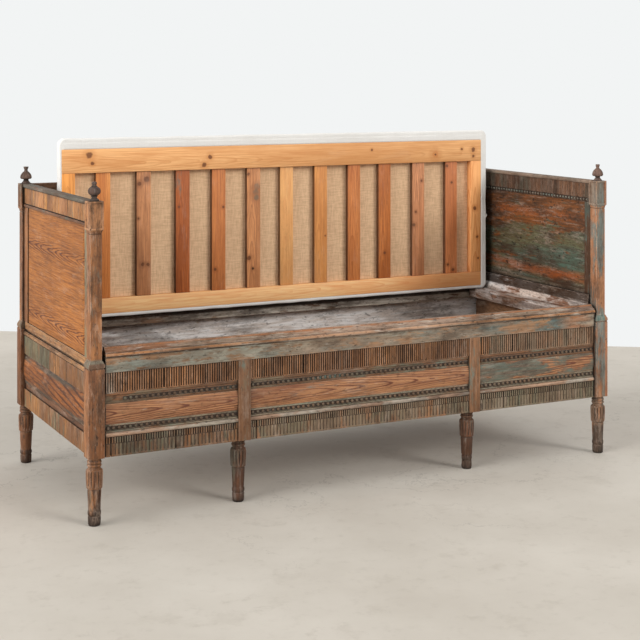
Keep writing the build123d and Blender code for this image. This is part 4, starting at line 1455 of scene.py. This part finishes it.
@dataclass
class PullOutFront:
    """The sliding front: lip, frieze, reeded strips, pearls, panels, stiles and middle legs."""

    half_length: float = 0.88325
    legs_x: Pair = (-0.440, 0.393)
    leg_top: float = 0.446
    stile_half: float = 0.0205
    strip_front: float = -0.398
    board_face: float = -0.390
    joint_half: float = 0.0012
    upper_reeds: Pair = (0.3865, 0.4455)
    upper_sill: Pair = (0.384, 0.3872)
    fine_reeds: Pair = (0.2375, 0.2555)
    worn_reeds: Pair = (0.2030, 0.2366)
    lower_sill: Pair = (CASE_LOW, 0.204)
    pearl_radius: float = 0.0056
    upper_joints: tuple[float, ...] = (-0.701, -0.239, 0.545, 0.690)
    lower_joints: tuple[float, ...] = (-0.866, -0.663, -0.399, 0.509)

    def bays(self) -> list[tuple[str, float, float]]:
        """Return the name and the two ends of each bay between the stiles."""
        left, right = self.legs_x
        half = self.stile_half
        return [
            ("left", -self.half_length, left - half),
            ("middle", left + half, right - half),
            ("right", right + half, self.half_length),
        ]

    def runs(self, joints: Sequence[float]) -> list[Pair]:
        """Cut the bays at the open joints.

        Args:
            joints: X of each open joint.

        Returns:
            The two ends of each run of reeds.
        """
        cut = []
        for _, left, right in self.bays():
            marks = [left, *[x for x in joints if left < x < right], right]
            for near, far in zip(marks, marks[1:]):
                start = near if near == left else near + self.joint_half
                end = far if far == right else far - self.joint_half
                cut.append((start, end))
        return cut

    def strip(self, name: str, left: float, right: float, front: float, span: Pair, edge: float) -> Piece:
        """Make a board on the face of the front board.

        Args:
            name: The board's name.
            left: Its lowest X.
            right: Its highest X.
            front: Y of its front.
            span: Its bottom and top.
            edge: The width of its easing.

        Returns:
            The board.
        """
        return board(name, (left, front, span[0]), (right, self.board_face, span[1]), edge)

    def reed_finish(self, name: str, seed: float, cover: float, pale: Colour, shade_and_grime_from: float,
                    *extra: Band) -> OldPine:
        """Return the finish of a row of reeds.

        Args:
            name: The finish's name.
            seed: What sets its patterns apart.
            cover: How much paint is left.
            pale: The colour of the bare wood.
            shade_and_grime_from: The Y behind which the grooves are painted dark, as grime and painted shade
                in their depths.
            *extra: Its own bands of colour.

        Returns:
            The finish.
        """
        return OldPine(
            name, Axis.Z, pale=pale, dark=tone(88, 58, 40), paint=tone(124, 114, 96),
            second_paint=tone(92, 100, 84), cover=cover, grime_and_shade=0.8, wear=0.3, stain=0.5, seed=seed,
            fades=(Fade(Axis.X, 0.38, 0.46, 0.35),), reed_pitch=REED_PITCH,
            # The deep parts of the grooves are painted near-black: grime and painted shade.
            bands=(Band(Axis.Y, shade_and_grime_from, -0.380, tone(46, 34, 27), 0.85, 0.0006, True),
                   *extra, *END_SHADE))

    def upper_row(self) -> None:
        """Make the upper row of reeds, with its open joints."""
        pieces = [reeded("upper_reeds", left, right, self.strip_front, self.board_face, *self.upper_reeds)
                  for left, right in self.runs(self.upper_joints)]
        pieces += [self.strip("upper_sill", left, right, self.strip_front + 0.001, self.upper_sill, 0.0008)
                   for _, left, right in self.bays()]
        row = joined("upper_reeded_rows", pieces)
        coat(row, self.reed_finish("reeds_upper", 1.3, 0.16, tone(169, 118, 78), -0.3948,
                                   Band(Axis.X, -0.880, -0.858, CHALK, 0.45, 0.002),
                                   Band(Axis.X, 0.44, 0.89, tone(170, 144, 120), 0.38, 0.030)))
        hand_over(row, "pull_out", "worn_paint", "upper_reeded_strips")

    def lower_row(self) -> None:
        """Make the lower row: fine reeds above, worn broad ones below."""
        pieces = []
        worn_front = self.strip_front + 0.0004
        for left, right in self.runs(self.lower_joints):
            pieces += [
                reeded("lower_reeds", left, right, self.strip_front, -0.3925, *self.fine_reeds),
                reeded("lower_worn", left, right, worn_front, -0.3940, *self.worn_reeds,
                       REED_PITCH * 1.5, 0.84),
                self.strip("lower_sill", left, right, worn_front, self.lower_sill, 0.0012),
                block("lower_body", (left, -0.3932, CASE_LOW), (right, self.board_face, self.fine_reeds[1])),
            ]
        row = joined("lower_reeded_rows", pieces)
        coat(row, self.reed_finish("reeds_lower", 2.6, 0.58, tone(151, 104, 67), -0.3958,
                                   Band(Axis.X, -0.890, -0.450, tone(72, 66, 52), 0.25, 0.030),
                                   Band(Axis.X, -0.380, 0.890, tone(158, 126, 98), 0.24, 0.060)))
        hand_over(row, "pull_out", "worn_paint", "lower_reeded_strips")

    def pearl_rows(self) -> None:
        """Make both rows of pearls on their strips, with the first few lost at the upper left."""
        # The dark ground behind the pearls is painted shade in the gaps between them.
        ground = OldPine("pearl_bed_shade", Axis.X, pale=tone(66, 50, 39), dark=tone(38, 30, 24),
                         paint=tone(66, 62, 52), grime_and_shade=0.8, seed=1.2)
        beads = OldPine("pearl_brown", Axis.X, pale=tone(124, 98, 76), dark=tone(74, 58, 46),
                        paint=tone(104, 102, 88), second_paint=tone(120, 100, 82), cover=0.45, grime_and_shade=0.7,
                        stain=0.3, wear=0.0, seed=4.4)
        for name, span, centre, fillet, cover, pale, paint in (
            ("upper_bead_mouldings", (0.353, 0.384), 0.366, (0.3775, 0.384), 0.4, tone(142, 96, 64),
             tone(126, 118, 98)),
            ("lower_bead_mouldings", (0.269, 0.293), 0.282, (0.269, 0.2735), 0.8, tone(166, 116, 78),
             tone(144, 136, 116)),
        ):
            backing = OldPine(f"pearl_strip_{cover:.0%}", Axis.X, pale=pale, dark=tone(97, 71, 51),
                              paint=paint, second_paint=tone(121, 138, 123), cover=cover, grime_and_shade=0.7,
                              stain=0.5, seed=3.9)
            pieces = []
            for word, left, right in self.bays():
                strip = self.strip(f"{name}_strip", left, right, -0.393, span, 0.0005)
                ledge = self.strip(f"{name}_fillet", left, right, -0.3962, fillet, 0.0016)
                pieces += [coat(strip, backing), coat(ledge, backing)]
                first = -0.822 if word == "left" and name.startswith("upper") else left + 0.008
                row = pearls(f"{name}_pearls", first, right - 0.006, -0.3940, centre, self.pearl_radius)
                pieces.append(coat(row, beads))
                # Each row lies on a dark bed: painted shade between the pearls.
                bed = block(f"{name}_bed", (first - 0.006, -0.3938, centre - 0.0052),
                            (right, self.board_face, centre + 0.0052))
                pieces.append(coat(bed, ground))
            hand_over(joined(f"{name}_carved", pieces), "pull_out", "worn_paint", name)

    def plain_pieces(self) -> None:
        """Dress the mouldings, panels and boards whose solids already have the right shape."""
        lip = OldPine(
            "lip_worn", Axis.X, pale=tone(153, 107, 75), dark=tone(99, 68, 50), paint=tone(147, 130, 112),
            second_paint=tone(132, 114, 102), cover=0.62, chalk=0.18, wear=1.0, seed=5.1,
            bands=(Band(Axis.Z, 0.4955, 0.5015, tone(170, 118, 76), 0.9, 0.0010),
                   # The near-black band below the nose is a painted shadow.
                   Band(Axis.Z, 0.4800, 0.4936, SOOT, 0.8, 0.0006, True),
                   Band(Axis.Z, 0.5028, 0.5052, UMBER, 0.7, 0.0006, True),
                   Band(Axis.X, -0.25, 0.35, tone(196, 168, 146), 0.4, 0.15),
                   Band(Axis.Z, 0.5150, 0.5186, tone(156, 98, 58), 0.8, 0.0008)))
        dress_node("lip_rail", lip)
        frieze = OldPine(
            "frieze_worn", Axis.X, pale=tone(166, 125, 90), dark=tone(95, 73, 56),
            paint=tone(148, 147, 133), second_paint=tone(91, 121, 121), cover=0.64, grime_and_shade=0.5, wear=1.0,
            seed=6.2,
            bands=(Band(Axis.X, 0.76, 0.86, tone(176, 110, 66), 0.6, 0.05),
                   Band(Axis.X, -0.28, 0.62, tone(150, 118, 92), 0.5, 0.10), *END_SHADE))
        dress_node("front_frieze", frieze)
        half_round = OldPine(
            "half_round_pink", Axis.X, pale=tone(188, 152, 126), dark=tone(128, 104, 87),
            paint=tone(174, 170, 157), second_paint=tone(180, 175, 164), cover=0.5, stain=0.55, seed=7.1,
            bands=END_SHADE)
        dress_node("half_round_mouldings", half_round)
        for word, cover, seed in (("left", 0.14, 2.3), ("middle", 0.12, 5.8), ("right", 0.62, 9.4)):
            panel = OldPine(
                f"front_panel_{word}", Axis.X, pale=tone(172, 123, 85), dark=tone(104, 60, 43),
                paint=tone(121, 126, 118), second_paint=tone(94, 110, 100), cover=cover, stain=0.35,
                piths=(0.325,), pith_depth=-0.392, flame=1.3, seed=seed, bands=END_SHADE)
            dress_node(f"{word}_front_panel", panel)
        stile = OldPine("stile_brown", Axis.Z, pale=tone(142, 101, 70), dark=tone(92, 64, 46),
                        paint=tone(116, 107, 89), cover=0.36, stain=0.4, seed=8.1)
        for word in ("left", "right"):
            remade_board(f"{word}_front_stile", stile, "pull_out", "worn_paint", 0.0016)
        ground = OldPine("front_board", Axis.X, pale=tone(120, 92, 72), dark=tone(70, 52, 42), cover=0.2,
                         seed=9.3)
        dress_node("front_board", ground)

    def middle_legs(self) -> None:
        """Make the two turned middle legs with their blocks."""
        finish = OldPine("middle_leg", Axis.Z, pale=tone(118, 76, 52), dark=tone(63, 42, 30),
                         paint=tone(97, 90, 74), cover=0.35, grime_and_shade=0.9, chalk=0.06, seed=1.9,
                         bands=(Band(Axis.Z, 0.030, 0.108, tone(52, 33, 23), 0.7),
                                Band(Axis.Z, -0.01, 0.040, tone(60, 52, 46), 0.7, 0.004)))
        for word in ("left", "right"):
            node = f"{word}_middle_leg"
            x, y = upright_axis(node)
            leg = TurnedLeg(broken=word == "right").build(f"{node}_leg", x, y)
            top = board(f"{node}_block", (x - BLOCK_HALF, y - BLOCK_HALF, CASE_LOW),
                        (x + BLOCK_HALF, y + BLOCK_HALF, self.leg_top))
            made = coat(joined(f"{node}_turned", [leg, top]), finish)
            hand_over(made, "pull_out", "worn_paint", node)

    def inside(self) -> None:
        """Dress the sides, bearer, slats and stop of the sliding section."""
        inner = OldPine("sliding_pine", Axis.Y, pale=tone(156, 116, 84), dark=tone(100, 70, 50), cover=0.06,
                        paint=tone(160, 150, 136), grime_and_shade=0.45, seed=2.0)
        for node in ("left_sliding_side", "right_sliding_side", "front_bearer"):
            remade_board(node, inner, "pull_out", "old_box_pine")
        for node in ("sliding_bed_slats", "slat_stop"):
            dress_node(node, inner)

    def build(self) -> None:
        """Make the whole sliding section."""
        self.upper_row()
        self.lower_row()
        self.pearl_rows()
        self.plain_pieces()
        self.middle_legs()
        self.inside()


# ------------------------------------------------------------------ seat lid
@dataclass(frozen=True)
class Slat:
    """One slat of the lid: the X of its middle, its colours and its knots."""

    middle: float
    pale: Colour
    dark: Colour
    knots: tuple[Knot, ...] = ()


@dataclass
class SeatLid:
    """The loose seat: frame, slats, hessian and a stuffed pad in a linen cover."""

    boards: tuple[Slat, ...] = (
        Slat(-0.678, tone(239, 161, 89), tone(184, 106, 54)),
        Slat(-0.5323, tone(219, 153, 104), tone(144, 92, 61), (
            Knot(-0.522, 0.960, 0.011), Knot(-0.548, 0.944, 0.008), Knot(-0.537, 0.666, 0.007),
            Knot(-0.517, 0.665, 0.006), Knot(-0.552, 0.825, 0.004))),
        Slat(-0.3886, tone(190, 107, 57), tone(141, 74, 39), (Knot(-0.403, 0.859, 0.004),)),
        Slat(-0.2529, tone(217, 138, 80), tone(166, 95, 53), (
            Knot(-0.236, 0.852, 0.005), Knot(-0.267, 0.633, 0.006))),
        Slat(-0.1182, tone(236, 165, 109), tone(168, 109, 71), (
            Knot(-0.106, 0.918, 0.012, DRAB), Knot(-0.109, 0.899, 0.013, DRAB),
            Knot(-0.107, 0.880, 0.011, DRAB), Knot(-0.139, 0.965, 0.006), Knot(-0.137, 0.666, 0.008),
            Knot(-0.122, 0.627, 0.005, SOOT))),
        Slat(0.0120, tone(249, 194, 128), tone(215, 148, 90)),
        Slat(0.1502, tone(235, 165, 96), tone(189, 119, 64), (Knot(0.168, 0.73, 0.003),)),
        Slat(0.2879, tone(220, 141, 81), tone(167, 93, 49)),
        Slat(0.4176, tone(219, 134, 70), tone(159, 89, 46), (Knot(0.417, 0.653, 0.006),)),
        Slat(0.5633, tone(219, 151, 106), tone(160, 102, 67), (
            Knot(0.577, 0.918, 0.005), Knot(0.552, 0.801, 0.005), Knot(0.543, 0.752, 0.007))),
        Slat(0.7090, tone(239, 153, 96), tone(173, 102, 62), (
            Knot(0.690, 0.971, 0.006), Knot(0.711, 0.907, 0.005), Knot(0.694, 0.593, 0.005),
            Knot(0.716, 0.573, 0.006))),
    )
    far_knots: tuple[Knot, ...] = (
        Knot(-0.729, 1.048, 0.012), Knot(-0.718, 1.020, 0.007), Knot(-0.289, 1.031, 0.008),
        Knot(-0.311, 1.003, 0.009), Knot(0.36, 1.040, 0.005), Knot(0.753, 1.035, 0.005),
        Knot(0.805, 1.031, 0.009), Knot(0.805, 1.006, 0.006), Knot(0.635, 1.016, 0.014, tone(206, 136, 82)),
        Knot(0.635, 1.016, 0.004))
    right_knots: tuple[Knot, ...] = (
        Knot(0.812, 0.805, 0.008), Knot(0.823, 0.694, 0.005), Knot(0.827, 0.611, 0.004))
    pith_depth: float = 0.27
    slat_width: float = 0.052
    slat_edge: float = 0.0022
    rail_edge: float = 0.002
    hessian_gap: float = 0.0006
    hessian_slack: float = 0.0010
    pad_front: float = 0.2835
    pad_inset: float = 0.004
    pad_rise: float = 0.014
    corner: float = 0.022
    rim_tuck: float = 0.0012
    rim_grain: float = 0.0033
    pad_grain: float = 0.0125

    def rails(self) -> None:
        """Make the four rails of the frame."""
        for word, grain, pale, dark, knots, seed in (
            ("far", Axis.X, tone(240, 184, 126), tone(206, 140, 84), self.far_knots, 1.0),
            # The near rail's tones are paler than the others' to make up for the shade of the box before it:
            # painted light.
            ("near", Axis.X, tone(252, 206, 147), tone(232, 155, 96), (), 2.5),
            ("left", Axis.Z, tone(249, 170, 89), tone(198, 120, 57), (), 3.0),
            ("right", Axis.Z, tone(252, 185, 121), tone(214, 133, 73), self.right_knots, 4.0),
        ):
            node = f"lid_{word}_rail"
            low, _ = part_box(node)
            pith = low.z + 0.03 if grain is Axis.X else low.x + 0.02
            finish = OldPine(f"{node}_pine", grain, pale=pale, dark=dark, knots=knots, cover=0.0,
                             grime_and_shade=0.18, stain=0.0, chalk=0.0, wear=0.1, flame=0.45, gloss=0.55,
                             piths=(pith,), pith_depth=self.pith_depth, seed=seed)
            remade_board(node, finish, "seat_lid", "lid_pine", self.rail_edge)

    def slats(self) -> None:
        """Make the slats, each with the tone of its own board."""
        low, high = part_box("lid_slats")
        for index, slat in enumerate(self.boards):
            number = f"{index + 1:02d}"
            left, right = slat.middle - self.slat_width / 2, slat.middle + self.slat_width / 2
            made = board(f"lid_slat_{number}", (left, low.y, low.z), (right, high.y, high.z), self.slat_edge)
            # Each slat's left side is darkened: painted shade.
            side = Band(Axis.X, left - 0.001, left + 0.0006, UMBER, 0.8, 0.0004, True)
            finish = OldPine(f"lid_slat_pine_{number}", Axis.Z, pale=slat.pale, dark=slat.dark,
                             knots=slat.knots, bands=(side,), cover=0.0, grime_and_shade=0.3, stain=0.1, chalk=0.0,
                             wear=0.2, piths=(slat.middle - 0.008,), pith_depth=self.pith_depth, gloss=0.5,
                             seed=0.7 * index)
            stands_for = ["lid_slats"] if index == 0 else []
            hand_over(coat(made, finish), "seat_lid", "lid_pine", *stands_for)

    def hessian(self) -> None:
        """Make the hessian under the slats, slack between them."""
        low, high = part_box("lid_burlap")
        pick_nothing()
        bpy.ops.mesh.primitive_grid_add(x_subdivisions=160, y_subdivisions=44, size=1)
        sheet = bpy.context.object
        sheet.name = "lid_hessian"
        for vertex in sheet.data.vertices:
            x = low.x + (vertex.co.x + 0.5) * (high.x - low.x)
            z = low.z + (vertex.co.y + 0.5) * (high.z - low.z)
            slack = abs(noise.noise(Vector((x * 7, 3.1, z * 3)))) * self.hessian_slack
            vertex.co = (x, low.y + self.hessian_gap + slack, z)
        modified(sheet, "SOLIDIFY", thickness=0.001, offset=-1)
        cloth = Weave("hessian", tone(244, 207, 166), tone(194, 154, 116), 0.0022, 0.0008, 0.6, 0.25)
        hand_over(coat(smooth(sheet, 60), cloth), "seat_lid", "hessian", "lid_burlap")

    def soft_block(self, name: str, low: Point, high: Point, ease: float) -> Piece:
        """Make a block with the cover's rounded corners and softened edges.

        Args:
            name: The block's name.
            low: Its lowest corner.
            high: Its highest corner.
            ease: The rounding of its long edges.

        Returns:
            The block.
        """
        deep = 0.5 * (high[1] - low[1])
        made = bevelled(block(name, low, high), lambda edge: span_of(edge, Axis.Y) > deep, self.corner, 6)
        return eased(made, ease, 4)

    def wrap(self, linen: Weave) -> None:
        """Make the linen that comes round the frame as a rim.

        Args:
            linen: Its finish.
        """
        low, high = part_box("lid_cushion")
        near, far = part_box("lid_far_rail"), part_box("lid_near_rail")
        tuck = self.rim_tuck
        rim = self.soft_block("lid_linen_rim", (low.x, low.y + 0.0006, low.z),
                              (high.x, self.pad_front + 0.004, high.z), 0.0032)
        hole = block("lid_rim_hole", (near[0].x + tuck, low.y - 0.02, far[0].z + tuck),
                     (near[1].x - tuck, self.pad_front + 0.02, near[1].z - tuck))
        modified(rim, "BOOLEAN", object=hole, operation="DIFFERENCE", solver="EXACT")
        bpy.data.objects.remove(hole)
        modified(rim, "REMESH", mode="VOXEL", voxel_size=self.rim_grain)
        for vertex in rim.data.vertices:
            from_edge = min(vertex.co.x - low.x, high.x - vertex.co.x,
                            vertex.co.z - low.z, high.z - vertex.co.z)
            if from_edge > 0.016:
                continue
            pull = noise.noise(vertex.co * 16) * 0.0016 - 0.0012
            vertex.co.x += pull * (1 if vertex.co.x > 0 else -1) * (abs(vertex.co.x) > 0.82)
            vertex.co.z += pull * (1 if vertex.co.z > 0.8 else -1)
            vertex.co.y += noise.noise(vertex.co * 22 + Vector((3, 1, 7))) * 0.0012 + 0.0008
            tuft = max(0.0, 1 - (vertex.co - Vector((high.x, low.y + 0.008, 0.774))).length / 0.011)
            vertex.co.x += 0.009 * tuft
        hand_over(coat(smooth(rim, 60), linen), "seat_lid", "linen")

    def pad(self, linen: Weave) -> None:
        """Make the stuffed pad in its cover, blown up a little by cloth simulation.

        Args:
            linen: Its finish.
        """
        low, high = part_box("lid_cushion")
        inset = self.pad_inset
        pad = self.soft_block("lid_linen_pad", (low.x + inset, self.pad_front, low.z + inset),
                              (high.x - inset, high.y - self.pad_rise, high.z - inset), 0.014)
        modified(pad, "REMESH", mode="VOXEL", voxel_size=self.pad_grain)
        rest = [vertex.co.copy() for vertex in pad.data.vertices]
        self.inflate(pad, rest)
        modified(pad, "SUBSURF", levels=1, render_levels=1)
        hand_over(coat(smooth(pad, 75), linen), "seat_lid", "linen", "lid_cushion")

    def inflate(self, pad: Piece, rest: Sequence[Vector]) -> None:
        """Blow the pad up, with its front held by the frame, and cap how far it may move.

        Args:
            pad: The pad to inflate.
            rest: Where each of its points starts.
        """
        held = pad.vertex_groups.new(name="held")
        held.add([i for i, place in enumerate(rest) if place.y < self.pad_front + 0.010], 1.0, "ADD")
        pick_only(pad)
        cloth = pad.modifiers.new("Cloth", "CLOTH")
        cloth.settings.use_pressure = True
        cloth.settings.uniform_pressure_force = 4.0
        cloth.settings.effector_weights.gravity = 0.0
        cloth.settings.vertex_group_mass = held.name
        cloth.settings.quality = 4
        scene = bpy.context.scene
        steps = 20
        cloth.point_cache.frame_end = steps
        for step in range(1, steps + 1):
            scene.frame_set(step)
        bpy.ops.object.modifier_apply(modifier=cloth.name)
        scene.frame_set(1)
        for vertex, place in zip(pad.data.vertices, rest):
            shift = vertex.co - place
            if shift.length > self.pad_rise:
                vertex.co = place + shift.normalized() * self.pad_rise

    def build(self) -> None:
        """Make the whole lid."""
        linen = Weave("linen", tone(231, 230, 227), tone(212, 209, 203), 0.0014, 0.0004, 0.25, 0.3)
        self.rails()
        self.slats()
        self.hessian()
        self.wrap(linen)
        self.pad(linen)


# ------------------------------------------------------------------ studio
@dataclass
class Studio:
    """A pale floor, soft light and the camera."""

    floor_radius: float = 4.5
    wall_distance: float = 2.193
    wall_facing: Pair = (0.562, 0.827)
    camera_place: Point = (-2.1915, -4.4357, 1.3197)
    camera_turn: float = -26.47
    lens: float = 80.59
    shift: float = -0.383
    sensor: float = 36.0
    key: float = 2.9
    key_place: Point = (-0.955, -0.13, 0.26)
    key_spread: float = 50
    counter: float = 1.3
    counter_place: Point = (0.45, -0.78, 0.42)
    counter_spread: float = 22
    fill: float = 0.66
    lamp_colour: Point = (1.0, 0.985, 0.96)
    fill_colour: Colour = (1.0, 0.99, 0.975, 1)
    backdrop_colour: Colour = tone(242, 244, 244)

    def floor(self) -> None:
        """Lay a round floor of pale concrete."""
        pick_nothing()
        bpy.ops.mesh.primitive_circle_add(vertices=128, radius=self.floor_radius, fill_type="NGON")
        floor = bpy.context.object
        floor.name = "studio_floor"
        away = (*self.wall_facing, 0.0)
        bpy.ops.object.mode_set(mode="EDIT")
        bpy.ops.mesh.select_all(action="SELECT")
        bpy.ops.mesh.bisect(plane_co=[self.wall_distance * part for part in away], plane_no=away,
                            clear_outer=True)
        bpy.ops.object.mode_set(mode="OBJECT")
        shader = Shader("pale_concrete")
        clouds = shader.noise(shader.scaled((1, 1, 1)), 1.6, 6, 0.6)
        colour = shader.ramp(clouds, [(0.3, tone(196, 189, 178)), (0.7, tone(213, 207, 197))])
        veins = shader.maths("ABSOLUTE", shader.minus(shader.noise(shader.place, 2.6, 7, 0.62), 0.5))
        where = shader.remap(shader.noise(shader.place, 1.1, 2), 0.50, 0.62, 0, 0.35)
        colour = shader.mixed(shader.times(shader.remap(veins, 0.0, 0.006, 1, 0), where), colour,
                              tone(120, 112, 102))
        spots = shader.noise(shader.place, 5.5, 6, 0.72)
        colour = shader.mixed(shader.remap(spots, 0.54, 0.66, 0, 0.18), colour, tone(170, 161, 148))
        grit = shader.noise(shader.scaled((1, 1, 1)), 22, 5, 0.7)
        colour = shader.mixed(shader.remap(grit, 0.5, 0.8, 0, 0.25), colour, tone(168, 160, 148))
        floor.data.materials.append(shader.finish(colour, 0.75, shader.bump(grit, 0.1, 0.001)))

    def world(self) -> None:
        """Light the studio evenly, with a near-white backdrop."""
        world = bpy.data.worlds.new("studio")
        bpy.context.scene.world = world
        world.use_nodes = True
        wiring = Wiring(world.node_tree)
        light = wiring.node("ShaderNodeBackground", {"Color": self.fill_colour, "Strength": self.fill})
        backdrop = wiring.node("ShaderNodeBackground", {"Color": self.backdrop_colour, "Strength": 1.0})
        path = wiring.node("ShaderNodeLightPath")
        seen = path.outputs["Is Camera Ray"]
        for ray in ("Is Glossy Ray", "Is Transmission Ray"):
            seen = wiring.maths("MAXIMUM", seen, path.outputs[ray])
        share = wiring.node("ShaderNodeMixShader", {0: seen, 1: light.outputs[0], 2: backdrop.outputs[0]})
        wiring.node("ShaderNodeOutputWorld", {"Surface": share.outputs[0]})

    def lamp(self, name: str, towards: Point, power: float, spread: float) -> None:
        """Hang one soft lamp far away.

        Args:
            name: The lamp's name.
            towards: Where the lamp stands, seen from the bench.
            power: Its strength.
            spread: How wide it looks, in degrees.
        """
        pick_nothing()
        turn = Vector(towards).to_track_quat("Z", "Y").to_euler()
        bpy.ops.object.light_add(type="SUN", rotation=turn)
        sun = bpy.context.object
        sun.name = name
        sun.data.energy = power
        sun.data.angle = math.radians(spread)
        sun.data.color = self.lamp_colour

    def camera(self) -> None:
        """Set up the camera."""
        pick_nothing()
        bpy.ops.object.camera_add(
            location=self.camera_place,
            rotation=(math.radians(90), 0, math.radians(self.camera_turn)),
        )
        camera = bpy.context.object
        camera.data.lens = self.lens
        camera.data.sensor_width = self.sensor
        camera.data.shift_y = self.shift
        bpy.context.scene.camera = camera

    def build(self) -> None:
        """Set up the whole studio."""
        self.floor()
        self.world()
        self.lamp("soft_key", self.key_place, self.key, self.key_spread)
        self.lamp("soft_counter", self.counter_place, self.counter, self.counter_spread)
        self.camera()
        bpy.context.scene.view_settings.view_transform = "Standard"


def main() -> None:
    """Build the pieces in order."""
    logging.basicConfig(level=logging.INFO, format="%(name)s: %(message)s")
    Studio().build()
    Posts().build()
    for word, side in (("left", -1.0), ("right", 1.0)):
        BenchEnd(word, side).build()
    EndStiles().build()
    BackAndBase().build()
    PullOutFront().build()
    SeatLid().build()


if __name__ == "__main__":
    main()
